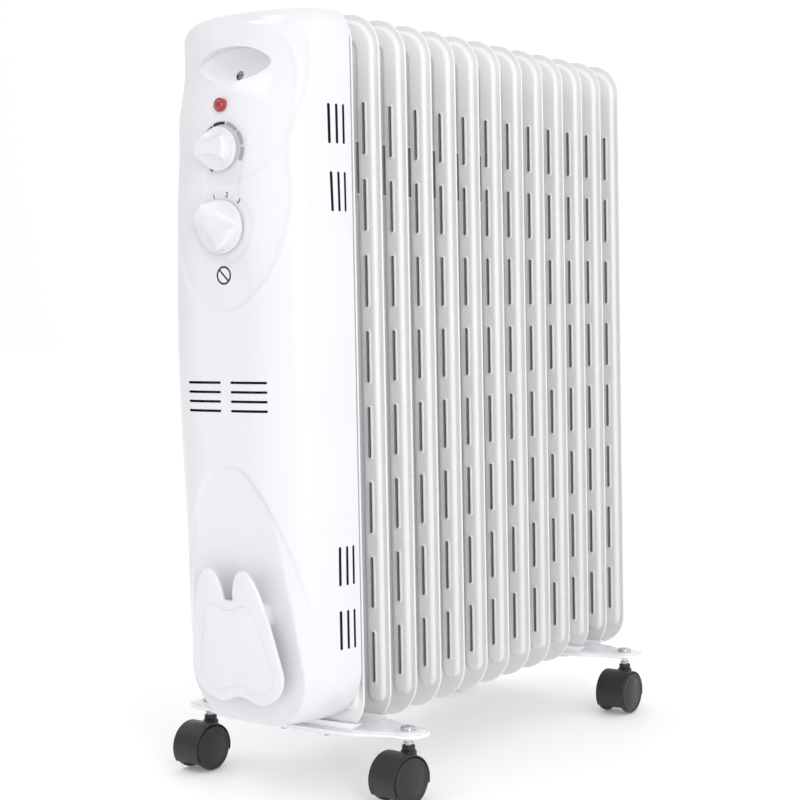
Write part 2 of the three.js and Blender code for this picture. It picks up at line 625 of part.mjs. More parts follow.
const trayFloor = ahead(HOUSING_BACK + HOUSING_WALL + GAP);
add('terminal_block', box(-TERMINAL_WIDTH / 2, TERMINAL_WIDTH / 2, trayFloor - TERMINAL_DEPTH, trayFloor,
  TERMINAL_Z - TERMINAL_TALL / 2, TERMINAL_Z + TERMINAL_TALL / 2), darkPhenolic);

// ---------------------------------------------------------------- controls
function switchBody(z) {
  const front = INNER_FACE + SWITCH_SEAT;
  const outline = roundRect(-SWITCH_HALF, SWITCH_HALF, z - SWITCH_HALF, z + SWITCH_HALF, SWITCH_HALF / 4);
  const body = slabY(outline, front, front + SWITCH_DEPTH, 1);
  return body.subtract(barY(SHAFT_R + GAP, 0, z, front - CUT, front + SHAFT_IN_BODY + GAP, 12));
}
function shaft(z) {
  const rear = INNER_FACE + SWITCH_SEAT + SHAFT_IN_BODY;
  return barY(SHAFT_R, 0, z, ahead(CONTROL_FACE + SHAFT_IN_KNOB), rear, 12);
}
// skirt, shallow dome and a pointer blade across it
function knob(z, r, points) {
  const rear = ahead(CONTROL_FACE);
  const skirtFront = rear - KNOB_SKIRT;
  const tip = rear - KNOB_DEPTH;
  let body = barY(r, 0, 0, skirtFront, rear, 24);
  body = body.add(barY(r - KNOB_CHAMFER, 0, 0, skirtFront - KNOB_CHAMFER, skirtFront + CUT, 24));
  const wedge = new THREE.Shape();
  wedge.moveTo(-BLADE_BROAD_HALF, -r * BLADE_TAIL);
  wedge.lineTo(BLADE_BROAD_HALF, -r * BLADE_TAIL);
  wedge.lineTo(BLADE_TIP_HALF, r);
  wedge.lineTo(-BLADE_TIP_HALF, r);
  const blade = slabY(wedge, tip, skirtFront + CUT);
  body = body.add(blade.intersect(barY(r, 0, 0, tip - CUT, rear, 24)));
  body = body.subtract(barY(SHAFT_R + GAP, 0, 0, rear - SHAFT_IN_KNOB - GAP, rear + CUT, 12));
  return body.rotate([0, points, 0]).translate([0, 0, z]);
}
add('thermostat_body', switchBody(THERMO_Z), darkPhenolic);
add('thermostat_shaft', shaft(THERMO_Z), zincSteel);
add('thermostat_knob', knob(THERMO_Z, THERMO_R, THERMO_POINTS), whitePlastic);
add('selector_switch', switchBody(SELECT_Z), darkPhenolic);
add('selector_shaft', shaft(SELECT_Z), zincSteel);
add('selector_knob', knob(SELECT_Z, SELECT_R, SELECT_POINTS), whitePlastic);

function lampLens() {
  const front = ahead(BOX_DEPTH);
  const dome = new THREE.LatheGeometry([
    new THREE.Vector2(0, -LAMP_INSIDE),
    new THREE.Vector2(LAMP_R, -LAMP_INSIDE),
    new THREE.Vector2(LAMP_R, LAMP_SIDE),
    new THREE.Vector2(LAMP_SHOULDER_R, LAMP_SHOULDER),
    new THREE.Vector2(0, LAMP_PROUD),
  ], 12);
  dome.rotateX(Math.PI);
  dome.translate(0, front, LAMP_Z);
  return solid(dome);
}
add('lamp_lens', lampLens(), redLens);

// ---------------------------------------------------------------- cord wrap
// right half of the outline from the notch down to the dip, as bezier corners:
// across in half widths, down in heights
const WRAP_SIDE = [
  [[0.6, 0], [0.8, 0.27], [0.87, 0.455]],
  [[0.94, 0.62], [1.01, 0.73], [1, 0.78]],
  [[0.98, 0.93], [0.6, 1], [0.43, 1]],
];
function wrapShape() {
  const tall = WRAP_TOP_Z - WRAP_LOW_Z;
  const notch = WRAP_TOP_Z - WRAP_NOTCH_DEEP;
  const n = WRAP_NOTCH_HALF;
  const dip = WRAP_LOW_Z + WRAP_DIP;
  const point = ([across, down]) => [across * WRAP_HALF, WRAP_TOP_Z - down * tall];
  const right = [
    [[n, notch], [n, notch], [n, notch + n]],
    [[1.4 * n, notch + 3 * n], [2 * n, WRAP_TOP_Z], [WRAP_LOBE_X, WRAP_TOP_Z]],
    ...WRAP_SIDE.map((curve) => curve.map(point)),
    [[WRAP_LOBE_X / 2, WRAP_LOW_Z], [WRAP_LOBE_X / 2, dip], [0, dip]],
  ];
  const shape = new THREE.Shape();
  shape.moveTo(0, notch);
  for (const [a, b, c] of right) shape.bezierCurveTo(...a, ...b, ...c);
  // the left half runs back up through the same corners
  const corners = [[0, notch], ...right.flat()].reverse();
  for (let k = 1; k < corners.length; k += 3) {
    const [a, b, c] = corners.slice(k, k + 3).map(([x, z]) => [-x, z]);
    shape.bezierCurveTo(...a, ...b, ...c);
  }
  return shape;
}

function wrapSolid() {
  const lean = Math.atan2(WRAP_FACE_TOP - WRAP_FACE_LOW, WRAP_TOP_Z - WRAP_LOW_Z);
  const face = ahead(WRAP_FACE_TOP);
  let plate = slabY(wrapShape(), face, face + WRAP_THICK, 3);
  const pivot = [0, face, WRAP_TOP_Z];
  plate = plate.translate(pivot.map((v) => -v));
  plate = plate.rotate([THREE.MathUtils.radToDeg(lean), 0, 0]).translate(pivot);
  const postZ = WRAP_TOP_Z - WRAP_POST_DROP;
  const postHalf = WRAP_POST_TALL / 2;
  const postFront = face + WRAP_POST_DROP * Math.tan(lean) + WRAP_THICK;
  const across = WRAP_POST_HALF;
  const outline = roundRect(-across, across, postZ - postHalf, postZ + postHalf, postHalf / 2);
  const post = slabY(outline, postFront, ahead(FIELD_DEPTH_LOW), 1);
  const fieldFront = ahead(FIELD_DEPTH_TOP) - GAP;
  const beyond = tiltWithField(box(-BOX_HALF_WIDTH, BOX_HALF_WIDTH, fieldFront, 0, 0, FIN_TOP_Z));
  return plate.add(post.subtract(beyond));
}
add('cord_wrap', wrapSolid(), whitePlastic);

// ---------------------------------------------------------------- feet
const FOOT_TOP_Z = FIN_BOTTOM_Z + FOOT_RISE;
const FOOT_UNDER_Z = FOOT_TOP_Z - FOOT_SHEET;

// plate outline seen from above, shrunk by an inset
function footShape(inset) {
  const r = FOOT_END_R - inset;
  const mid = FOOT_MID_HALF - inset;
  const flat = FOOT_MID_LENGTH;
  const shape = new THREE.Shape();
  shape.moveTo(-flat, -mid);
  shape.lineTo(flat, -mid);
  shape.bezierCurveTo(flat + FOOT_FLARE, -mid, STEM_X - FOOT_FLARE_END, -r, STEM_X, -r);
  shape.absarc(STEM_X, 0, r, -Math.PI / 2, Math.PI / 2, false);
  shape.bezierCurveTo(STEM_X - FOOT_FLARE_END, r, flat + FOOT_FLARE, mid, flat, mid);
  shape.lineTo(-flat, mid);
  shape.bezierCurveTo(-flat - FOOT_FLARE, mid, -STEM_X + FOOT_FLARE_END, r, -STEM_X, r);
  shape.absarc(-STEM_X, 0, r, Math.PI / 2, Math.PI * 1.5, false);
  shape.bezierCurveTo(-STEM_X + FOOT_FLARE_END, -r, -flat - FOOT_FLARE, -mid, -flat, -mid);
  return shape;
}

function footPlate() {
  let body = slabZ(footShape(0), FOOT_TOP_Z - FOOT_FLANGE, FOOT_TOP_Z, 3);
  body = body.subtract(slabZ(footShape(FOOT_SHEET), FOOT_TOP_Z - FOOT_FLANGE - CUT, FOOT_UNDER_Z, 3));
  // troughs that seat the two fins
  const slitHalf = FIN_SHEET / 2 + GAP;
  const below = box(-STEM_X, STEM_X, -FOOT_MID_HALF, FOOT_MID_HALF, 0, FOOT_TOP_Z);
  for (const side of [-1, 1]) {
    const y = (side * FIN_PITCH) / 2;
    const troughHalf = slitHalf + FOOT_SHEET;
    const trough = slabY(fullOutline(GAP + FOOT_SHEET), y - troughHalf, y + troughHalf, 2);
    body = body.add(trough.intersect(below));
  }
  for (const side of [-1, 1]) {
    const y = (side * FIN_PITCH) / 2;
    body = body.subtract(slabY(fullOutline(GAP), y - slitHalf, y + slitHalf, 2));
    body = body.subtract(barZ(UBOLT_R + GAP, side * UBOLT_X, 0, 0, FOOT_TOP_Z + CUT, 10));
    body = body.subtract(barZ(STEM_R + GAP, side * STEM_X, 0, 0, FOOT_TOP_Z + CUT, 12));
  }
  return body;
}

const UBOLT_X = HUB_R + GAP + UBOLT_R;
// up one leg, over the hub and down the other
class UBoltLine extends THREE.Curve {
  getPoint(t) {
    const leg = HUB_LOW_Z - (FOOT_UNDER_Z - UBOLT_TAIL);
    const arc = Math.PI * UBOLT_X;
    const along = t * (2 * leg + arc);
    if (along < leg) return new THREE.Vector3(-UBOLT_X, 0, HUB_LOW_Z - leg + along);
    if (along > leg + arc) return new THREE.Vector3(UBOLT_X, 0, HUB_LOW_Z - (along - leg - arc));
    const a = Math.PI - (along - leg) / UBOLT_X;
    return new THREE.Vector3(UBOLT_X * Math.cos(a), 0, HUB_LOW_Z + UBOLT_X * Math.sin(a));
  }
}
function uBolt() {
  const section = new THREE.Shape();
  section.absarc(0, 0, UBOLT_R, 0, Math.PI * 2, false);
  return solid(new THREE.ExtrudeGeometry(section, {
    steps: 30, curveSegments: 4, bevelEnabled: false, extrudePath: new UBoltLine(),
  }));
}
function wingNut() {
  const high = FOOT_UNDER_Z - GAP;
  const low = high - WING_NUT_TALL;
  let body = barZ(WING_NUT_R, 0, 0, low, high, 12);
  body = body.add(box(-WING_REACH, WING_REACH, -WING_HALF, WING_HALF, low - WING_HALF, high - 2 * WING_HALF));
  return body.subtract(barZ(UBOLT_R + GAP, 0, 0, low - 2 * CUT - WING_HALF, high + CUT, 10));
}

const footY = { front: finY(0) + FIN_PITCH / 2, rear: finY(FIN_COUNT - 3) + FIN_PITCH / 2 };
const plateSolid = footPlate();
for (const [end, y] of Object.entries(footY)) {
  add(`foot_plate_${end}`, plateSolid.translate([0, y, 0]), whiteEnamel);
  add(`u_bolt_${end}`, uBolt().translate([0, y, 0]), zincSteel);
  for (const [hand, side] of [['left', -1], ['right', 1]]) {
    add(`wing_nut_${end}_${hand}`, wingNut().translate([side * UBOLT_X, y, 0]), zincSteel);
  }
}

// ---------------------------------------------------------------- castors
// built about the swivel axis at X = Y = 0, trailing towards -Y
const AXLE_Z = WHEEL_R;
const AXLE_Y = -CASTOR_TRAIL;
const WHEEL_INNER = CASTOR_WIDTH / 2 - WHEEL_WIDTH;
const HOOD_IN_R = WHEEL_R + HOOD_CLEAR;
const HOOD_OUT_R = HOOD_IN_R + HOOD_WALL;
const WEB_HALF = WHEEL_INNER - GAP;
const STEM_LOW_Z = AXLE_Z + AXLE_R + 1;
const AXLE_REACH = CASTOR_WIDTH / 2 - 2;

// hood outline seen along the axle: front edge low, rear edge just under the axle
function hoodShape(r0, r1) {
  const from = THREE.MathUtils.degToRad(-HOOD_REAR);
  const to = THREE.MathUtils.degToRad(180 + HOOD_FRONT);
  const shape = new THREE.Shape();
  shape.absarc(0, 0, r1, from, to, false);
  if (r0 > 0) shape.absarc(0, 0, r0, to, from, true);
  else shape.lineTo(0, -WEB_DROP);
  return shape;
}
// outline drawn in Y and Z round the axle, as wide as x1 - x0
function slabX(shape, x0, x1, curveSegments) {
  const geometry = new THREE.ExtrudeGeometry(shape, { depth: x1 - x0, bevelEnabled: false, curveSegments });
  geometry.rotateX(Math.PI / 2);
  geometry.rotateZ(Math.PI / 2);
  geometry.translate(x0, AXLE_Y, AXLE_Z);
  return solid(geometry);
}

function hoodSolid() {
  const rimHalf = CASTOR_WIDTH / 2 - HOOD_RIM_STEP;
  let body = slabX(hoodShape(HOOD_IN_R, HOOD_OUT_R), -rimHalf, rimHalf, 6);
  const web = slabX(hoodShape(0, HOOD_IN_R + HOOD_WALL / 2), -WEB_HALF, WEB_HALF, 6);
  body = body.add(web);
  body = body.add(barZ(COLLAR_R, 0, 0, AXLE_Z, COLLAR_TOP_Z, 12));
  body = body.subtract(barZ(STEM_R + GAP, 0, 0, STEM_LOW_Z - GAP, COLLAR_TOP_Z + CUT, 12));
  return body.subtract(barX(AXLE_R + GAP, AXLE_Y, AXLE_Z, -CASTOR_WIDTH, CASTOR_WIDTH, 8));
}
function wheelSolid(side) {
  const inner = side * WHEEL_INNER;
  const outer = side * (CASTOR_WIDTH / 2);
  const span = (a, b) => [Math.min(a, b), Math.max(a, b)];
  const body = barX(WHEEL_R, AXLE_Y, AXLE_Z, ...span(inner, outer), 20);
  const boreEnd = side * (AXLE_REACH + GAP);
  return body.subtract(barX(AXLE_R + GAP, AXLE_Y, AXLE_Z, ...span(inner - side * CUT, boreEnd), 8));
}

function stemSolid() {
  let body = barZ(STEM_R, 0, 0, STEM_LOW_Z, FOOT_TOP_Z + NUT_HEIGHT - CUT, 10);
  body = body.add(barZ(SHOULDER_R, 0, 0, FOOT_UNDER_Z - GAP - SHOULDER, FOOT_UNDER_Z - GAP, 10));
  return body;
}
function nutSolid() {
  const low = FOOT_TOP_Z + GAP;
  const profile = [
    new THREE.Vector2(0, low),
    new THREE.Vector2(NUT_R, low),
    new THREE.Vector2(NUT_R, low + NUT_RIM),
    new THREE.Vector2(NUT_SHOULDER_R, low + NUT_SHOULDER),
    new THREE.Vector2(0, low + NUT_HEIGHT),
  ];
  const dome = new THREE.LatheGeometry(profile, 10);
  dome.rotateX(Math.PI / 2);
  const cap = solid(dome);
  return cap.subtract(barZ(STEM_R + GAP, 0, 0, low - CUT, FOOT_TOP_Z + NUT_HEIGHT - CUT + GAP, 10));
}

const castorStem = stemSolid();
const castorNut = nutSolid();
const castorHood = hoodSolid();
const castorAxle = barX(AXLE_R, AXLE_Y, AXLE_Z, -AXLE_REACH, AXLE_REACH, 8);
const wheels = { left: wheelSolid(-1), right: wheelSolid(1) };
for (const [place, degrees] of Object.entries(SWIVELS)) {
  const [end, hand] = place.split('_');
  const at = new THREE.Group();
  at.position.set(hand === 'left' ? -STEM_X : STEM_X, footY[end], 0);
  radiator.add(at);
  const swivel = new THREE.Group();
  swivel.rotation.z = THREE.MathUtils.degToRad(degrees);
  at.add(swivel);
  add(`castor_${place}_stem`, castorStem, brightSteel, at);
  add(`castor_${place}_nut`, castorNut, brightSteel, at);
  add(`castor_${place}_hood`, castorHood, blackNylon, swivel);
  add(`castor_${place}_axle`, castorAxle, zincSteel, swivel);
  add(`castor_${place}_wheel_left`, wheels.left, blackNylon, swivel);
  add(`castor_${place}_wheel_right`, wheels.right, blackNylon, swivel);
}

export default radiator;
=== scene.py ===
"""Oil filled radiator heater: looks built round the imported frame. Metres, +Z up, the control box faces -Y.

Sizes are written in millimetres and turned to metres by mm(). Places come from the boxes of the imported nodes.
"""

import math

import bmesh
import bpy
import numpy as np
from mathutils import Matrix, Vector


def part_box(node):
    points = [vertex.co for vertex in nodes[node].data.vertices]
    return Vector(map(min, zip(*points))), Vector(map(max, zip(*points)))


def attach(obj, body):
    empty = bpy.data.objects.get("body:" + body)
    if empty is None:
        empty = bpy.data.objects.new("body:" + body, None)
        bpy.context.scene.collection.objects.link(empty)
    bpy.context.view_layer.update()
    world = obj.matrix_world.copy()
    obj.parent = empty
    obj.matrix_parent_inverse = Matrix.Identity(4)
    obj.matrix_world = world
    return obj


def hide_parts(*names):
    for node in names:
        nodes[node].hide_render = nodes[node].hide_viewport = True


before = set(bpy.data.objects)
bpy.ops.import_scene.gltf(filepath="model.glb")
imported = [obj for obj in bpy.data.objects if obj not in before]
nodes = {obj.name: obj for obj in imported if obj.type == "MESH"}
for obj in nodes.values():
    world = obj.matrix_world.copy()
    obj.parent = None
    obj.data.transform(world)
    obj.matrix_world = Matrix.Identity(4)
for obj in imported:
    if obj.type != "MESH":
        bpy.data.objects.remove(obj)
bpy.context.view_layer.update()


def mm(*values):
    """Millimetres to metres."""
    scaled = [v * 0.001 for v in values]
    return scaled[0] if len(scaled) == 1 else Vector(scaled)


def box_mm(name):
    """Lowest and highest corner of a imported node, in millimetres."""
    return tuple(Vector(corner) * 1000 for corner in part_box(name))


# ---------------------------------------------------------------- sizes
FIN_NAMES = [f"fin_{i:02d}" for i in range(1, 14)]
FIN_LOW, FIN_HIGH = box_mm("fin_02")
FIN_HALF = FIN_HIGH.x
FIN_BOTTOM = FIN_LOW.z
FIN_TOP = FIN_HIGH.z
FIN_CORNER = 30
HUB_LENGTH = FIN_HIGH.y - FIN_LOW.y
HUB_R = 20
HUB_FROM_END = 62
HEM_HALF = 1.3
HEM_WIDTH = 2.2
SHEET_HALF = 0.8
BAND_OUTER = 4.2  # from the fin's edge to the pressed band
BAND_WIDTH = 17.2
BAND_HALF = 4.3  # half thickness of the band
BAND_END = 20  # from the fin's bottom to the band's rounded end
SLOT_FROM_EDGE = 13.4
SLOT_WIDTH = 3
SLOT_LENGTH = 41.9
SLOT_PITCH = 61.4
SLOT_FROM_TOP = 72
SLOT_ROWS = 8
INNER_SLOT_FROM_EDGE = 20.7
INNER_SLOT_FROM_TOP = 103
LIP_WIDTH = 1.7
LIP_PROUD = 0.6

COVER_LOW, COVER_HIGH = box_mm("control_cover")
COVER_HALF = COVER_HIGH.x
COVER_FRONT = COVER_LOW.y
COVER_REAR = COVER_HIGH.y
COVER_BOTTOM = COVER_LOW.z
COVER_TOP = COVER_HIGH.z
COVER_WALL = 2.5
HOLLOW_IN = 3.7  # the plain hollow keeps this far from the skin, clear of the pressed steps
TOP_CORNER, LOW_CORNER = 20, 44  # corners of the cover seen from the front
TOP_ROUND, LOW_ROUND = 22, 7  # soft edges from the front into the top and the bottom
BROW, BROW_DROP, BROW_TALL = 13, 83, 45  # the front leans back over the controls
TIGHT_CORNER, TIGHT_DROP = 53, 266  # corner from front to side where it is tightest
HIGH_MORE, LOW_MORE, FLARE = 19, 11, 198  # it widens by this much above and below, over a height
END_LESS, END_TALL = 16, 28  # and is smaller again at the very top
LOUVRE_ROWS, LOUVRE_DROP, LOUVRE_PITCH = 4, 291, 7.4
LOUVRE_MIDDLE, LOUVRE_HALF = 22.5, 17.5
VENT_LENGTH, VENT_WIDTH, VENT_PITCH, VENT_COUNT = 31, 2.4, 7, 3
SHIELD_DEEP = 1.0  # the shield stands this far back from the front
SHIELD_LIP = 0.35  # low swelling just outside it
EGG_DEEP = 0.7  # the egg round the upper dial lies this much deeper again
FIELD_STEP = 2.6  # rounded step down into the lower field
WELL_DEEP = 0.7  # and the dial wells this far back from the shield

THERMO_LOW, THERMO_HIGH = box_mm("thermostat_knob")
SELECT_LOW, SELECT_HIGH = box_mm("selector_knob")
THERMO_Z = (THERMO_LOW.z + THERMO_HIGH.z) / 2
THERMO_R = (THERMO_HIGH.x - THERMO_LOW.x) / 2
SELECT_Z = (SELECT_LOW.z + SELECT_HIGH.z) / 2
SELECT_R = (SELECT_HIGH.x - SELECT_LOW.x) / 2
LAMP_LOW, LAMP_HIGH = box_mm("lamp_lens")
LAMP_Z = (LAMP_LOW.z + LAMP_HIGH.z) / 2
LAMP_R = (LAMP_HIGH.x - LAMP_LOW.x) / 2


# ---------------------------------------------------------------- working in mesh edit mode
def take(*objs):
    """Selects only these objects and makes the first one active."""
    if bpy.context.object and bpy.context.object.mode != "OBJECT":
        bpy.ops.object.mode_set(mode="OBJECT")
    bpy.ops.object.select_all(action="DESELECT")
    for obj in objs:
        obj.select_set(True)
    bpy.context.view_layer.objects.active = objs[0]


def settle():
    """Leaves the new object's place in its mesh."""
    bpy.ops.object.transform_apply(location=True, rotation=True, scale=True)
    return bpy.context.object


def block(low, high):
    """Box between two corners."""
    low, high = Vector(low), Vector(high)
    bpy.ops.mesh.primitive_cube_add(size=1, location=mm(*((low + high) / 2)), scale=mm(*(high - low)))
    return settle()


def bar(axis, radius, centre, length, sides=48):
    """Round bar along X, Y or Z about its middle."""
    turn = {"x": (0, math.pi / 2, 0), "y": (math.pi / 2, 0, 0), "z": (0, 0, 0)}[axis]
    bpy.ops.mesh.primitive_cylinder_add(
        vertices=sides, radius=mm(radius), depth=mm(length), location=mm(*centre), rotation=turn
    )
    return settle()


def ball(half, centre, tilt=0.0, rings=24):
    """Ball stretched to three half sizes and tilted about X."""
    bpy.ops.mesh.primitive_uv_sphere_add(
        segments=rings * 2, ring_count=rings, radius=1,
        location=mm(*centre), scale=mm(*half), rotation=(tilt, 0, 0),
    )
    return settle()


def place(across, along, up, axis):
    """A point of an outline drawn across the given axis: x uses (y, z), y uses (x, z), z uses (x, y)."""
    return {"x": (up, across, along), "y": (across, up, along), "z": (across, along, up)}[axis]


def slab(outline, axis, start, end):
    """Flat plate: a ring of points is filled and drawn out along the axis."""
    bpy.ops.mesh.primitive_circle_add(vertices=len(outline), radius=1, fill_type="NGON")
    obj = bpy.context.object
    for vertex, (a, b) in zip(obj.data.vertices, outline):
        vertex.co = mm(*place(a, b, start, axis))
    take(obj)
    bpy.ops.object.mode_set(mode="EDIT")
    bpy.ops.mesh.select_all(action="SELECT")
    step = mm(*place(0, 0, end - start, axis))
    bpy.ops.mesh.extrude_region_move(TRANSFORM_OT_translate={"value": step})
    bpy.ops.mesh.select_all(action="SELECT")
    bpy.ops.mesh.normals_make_consistent(inside=False)
    bpy.ops.object.mode_set(mode="OBJECT")
    return obj


def pick(obj, kind, test):
    """In edit mode, selects the vertices, edges or faces that pass the test."""
    take(obj)
    bpy.ops.object.mode_set(mode="EDIT")
    bpy.context.tool_settings.mesh_select_mode = (kind == "verts", kind == "edges", kind == "faces")
    bpy.ops.mesh.select_all(action="DESELECT")
    mesh = bmesh.from_edit_mesh(obj.data)
    mesh.normal_update()
    for part in getattr(mesh, kind):
        if test(part):
            part.select_set(True)
    mesh.select_flush_mode()
    bmesh.update_edit_mesh(obj.data)


def leave():
    """Back to object mode."""
    bpy.ops.object.mode_set(mode="OBJECT")


def middle(part):
    """Middle of an edge or face, in millimetres."""
    points = [v.co for v in part.verts]
    return sum(points, Vector()) / len(points) * 1000


def runs_along(edge, axis):
    """True for an edge that lies along one axis (0, 1, 2)."""
    span = edge.verts[1].co - edge.verts[0].co
    return span.length > 0 and abs(span[axis]) > 0.99 * span.length


def round_corners(obj, axis, radius, steps=8, test=lambda m: True):
    """Rounds the edges that run along one axis."""
    pick(obj, "edges", lambda e: runs_along(e, axis) and test(middle(e)))
    bpy.ops.mesh.bevel(offset=mm(radius), segments=steps, affect="EDGES")
    leave()


def apply(obj, modifier):
    """Applies a modifier of this object."""
    take(obj)
    bpy.ops.object.modifier_apply(modifier=modifier.name)


def soften(obj, width, steps=2, angle=35):
    """Rounds every edge sharper than an angle."""
    bevel = obj.modifiers.new("soft_edges", "BEVEL")
    bevel.width = mm(width)
    bevel.segments = steps
    bevel.limit_method = "ANGLE"
    bevel.angle_limit = math.radians(angle)
    bevel.use_clamp_overlap = True
    apply(obj, bevel)
    return obj


def combine(obj, tools, how):
    """UNION, DIFFERENCE or INTERSECT of closed bodies. The tools are used up."""
    for tool in tools:
        cut = obj.modifiers.new("fit", "BOOLEAN")
        cut.operation = how
        cut.solver = "MANIFOLD"
        cut.object = tool
        apply(obj, cut)
        bpy.data.objects.remove(tool, do_unlink=True)
    return obj


def two_finishes(obj, index):
    """Gives a mesh places for two finishes, with every face on one of them."""
    obj.data.materials.clear()
    obj.data.materials.append(None)
    obj.data.materials.append(None)
    for face in obj.data.polygons:
        face.material_index = index
    return obj


def inner_faces(tool):
    """Marks a cutting tool so that the walls it leaves take the second finish, which carries painted shade."""
    return two_finishes(tool, 1)


def gather(objs):
    """Makes one object of several that stand apart."""
    take(*objs)
    if len(objs) > 1:
        bpy.ops.object.join()
    return objs[0]


def twin(obj, matrix=None):
    """A copy with a mesh of its own, moved by a matrix."""
    copy = obj.copy()
    copy.data = obj.data.copy()
    bpy.context.collection.objects.link(copy)
    if matrix is not None:
        copy.data.transform(matrix)
        if matrix.determinant() < 0:
            copy.data.flip_normals()
    return copy


def shift(x=0, y=0, z=0):
    """Move by millimetres."""
    return Matrix.Translation(mm(x, y, z))


def finish(obj, name, body, look, replaces=(), angle=32):
    """Names the piece, smooths it, gives it its finish and hands it to its body."""
    obj.name = name
    obj.data.name = name
    take(obj)
    if angle:
        bpy.ops.object.shade_smooth_by_angle(angle=math.radians(angle))
    else:
        bpy.ops.object.shade_smooth()
    for index, material in enumerate(look if isinstance(look, list) else [look]):
        if index == len(obj.data.materials):
            obj.data.materials.append(None)
        obj.data.materials[index] = material
    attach(obj, body)
    if replaces:
        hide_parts(*replaces)
    return obj


# ---------------------------------------------------------------- finishes
def linear(code):
    """sRGB hex to linear colour."""
    channels = [int(code[i : i + 2], 16) / 255 for i in (1, 3, 5)]
    return [c / 12.92 if c <= 0.04045 else ((c + 0.055) / 1.055) ** 2.4 for c in channels] + [1.0]


def add_node(tree, kind, links=(), **settings):
    """Adds a shader node, sets its sockets and properties, and links its inputs."""
    node = tree.nodes.new(kind)
    for key, value in settings.items():
        socket = key.replace("_", " ")
        if hasattr(node, key):
            setattr(node, key, value)
        else:
            node.inputs[socket].default_value = value
    for source, target in links:
        tree.links.new(source, node.inputs[target])
    return node


def finish_material(
    name, base, tint, rough, grain, bump, metallic=0.0, coat=0.0, patch=12.0, **shader
):
    """Colour drifts between base and tint, roughness between two values, and a fine grain lifts the surface.

    patch and grain are how many features fit in a metre.
    """
    material = bpy.data.materials.new(name)
    material.use_nodes = True
    tree = material.node_tree
    surface = tree.nodes["Principled BSDF"]
    surface.inputs["Metallic"].default_value = metallic
    surface.inputs["Coat Weight"].default_value = coat
    surface.inputs["Coat Roughness"].default_value = 0.06
    for key, value in shader.items():
        surface.inputs[key.replace("_", " ")].default_value = value
    place_on = add_node(tree, "ShaderNodeTexCoord").outputs["Object"]
    drift = add_node(tree, "ShaderNodeTexNoise", [(place_on, "Vector")], Scale=patch, Detail=3.0)
    mix = add_node(tree, "ShaderNodeMix", [(drift.outputs["Fac"], "Factor")], data_type="RGBA")
    mix.inputs[6].default_value = linear(base)
    mix.inputs[7].default_value = linear(tint)
    tree.links.new(mix.outputs[2], surface.inputs["Base Color"])
    handled = add_node(tree, "ShaderNodeTexNoise", [(place_on, "Vector")], Scale=patch * 4, Detail=4.0)
    polish = add_node(tree, "ShaderNodeMapRange", [(handled.outputs["Fac"], "Value")])
    polish.inputs["From Min"].default_value = 0.3
    polish.inputs["From Max"].default_value = 0.7
    polish.inputs["To Min"].default_value = rough[0]
    polish.inputs["To Max"].default_value = rough[1]
    tree.links.new(polish.outputs["Result"], surface.inputs["Roughness"])
    skin = add_node(tree, "ShaderNodeTexNoise", [(place_on, "Vector")], Scale=grain, Detail=2.0)
    lift = add_node(
        tree, "ShaderNodeBump", [(skin.outputs["Fac"], "Height")], Strength=bump[0], Distance=mm(bump[1])
    )
    tree.links.new(lift.outputs["Normal"], surface.inputs["Normal"])
    return material


# baked enamel on pressed steel: even cool white, wet gloss over a faint orange peel of about 4 mm
enamel = finish_material(
    "white_baked_enamel_on_pressed_steel", "#e5e5e6", "#e0e0e0", (0.18, 0.28), 260.0, (0.12, 0.05), coat=0.4
)
# the same enamel, painted lighter on the foot plates as painted light, with rounded glints along the rolled
# edge
enamel_painted_lighter = finish_material(
    "white_enamel_painted_lighter_on_foot_plate", "#f3f3f5", "#eeeef0", (0.2, 0.3), 260.0, (0.1, 0.05), coat=0.4
)
# cut edges of the two sheets inside a slot: grey, darker than the enamel, as painted shade that darkens the
# slots
slot_wall_painted_shade = finish_material(
    "grey_painted_shade_on_cut_steel_edge", "#a2a2a4", "#8c8c8f", (0.5, 0.65), 900.0, (0.2, 0.05), patch=40.0
)
# moulded ABS: bright white with a mirror-like skin that scatters a little more where it is handled
abs_white = finish_material(
    "white_gloss_moulded_abs", "#dfdfe2", "#dbdbde", (0.14, 0.24), 420.0, (0.05, 0.03), coat=0.25
)
# inside of the cover: dark painted shade on the inner walls, where the air slots look in
abs_inside_painted_shade = finish_material(
    "dark_painted_shade_on_inner_wall_of_moulded_abs", "#1b1b1d", "#141416", (0.7, 0.85), 420.0, (0.1, 0.05)
)
# glass filled nylon from a spark-eroded mould: fine grain of about 0.7 mm that breaks the highlights up
nylon = finish_material(
    "black_spark_grain_moulded_nylon", "#252528", "#17171a", (0.32, 0.46), 1300.0, (0.8, 0.16), patch=40.0
)
# zinc plate on drawn steel: grey, slightly cloudy
zinc = finish_material(
    "zinc_plated_drawn_steel", "#a9adb2", "#8f9398", (0.26, 0.42), 900.0, (0.15, 0.03),
    metallic=1.0, patch=60.0
)
# bright nickel on turned steel: sharp reflections
nickel = finish_material(
    "bright_nickel_plated_turned_steel", "#d2d4d6", "#bfc2c6", (0.12, 0.22), 900.0, (0.08, 0.02),
    metallic=1.0, patch=60.0
)
# phenolic moulding of the switch bodies: brown black and dry
phenolic = finish_material(
    "brown_black_moulded_phenolic", "#2f2a26", "#26221f", (0.55, 0.7), 900.0, (0.25, 0.06), patch=40.0
)
# clear red acrylic over an unlit neon: deep red with a hard highlight
ruby = finish_material(
    "ruby_clear_moulded_acrylic", "#b3110f", "#7d0b0b", (0.04, 0.08), 500.0, (0.03, 0.02),
    coat=1.0, patch=120.0,
)
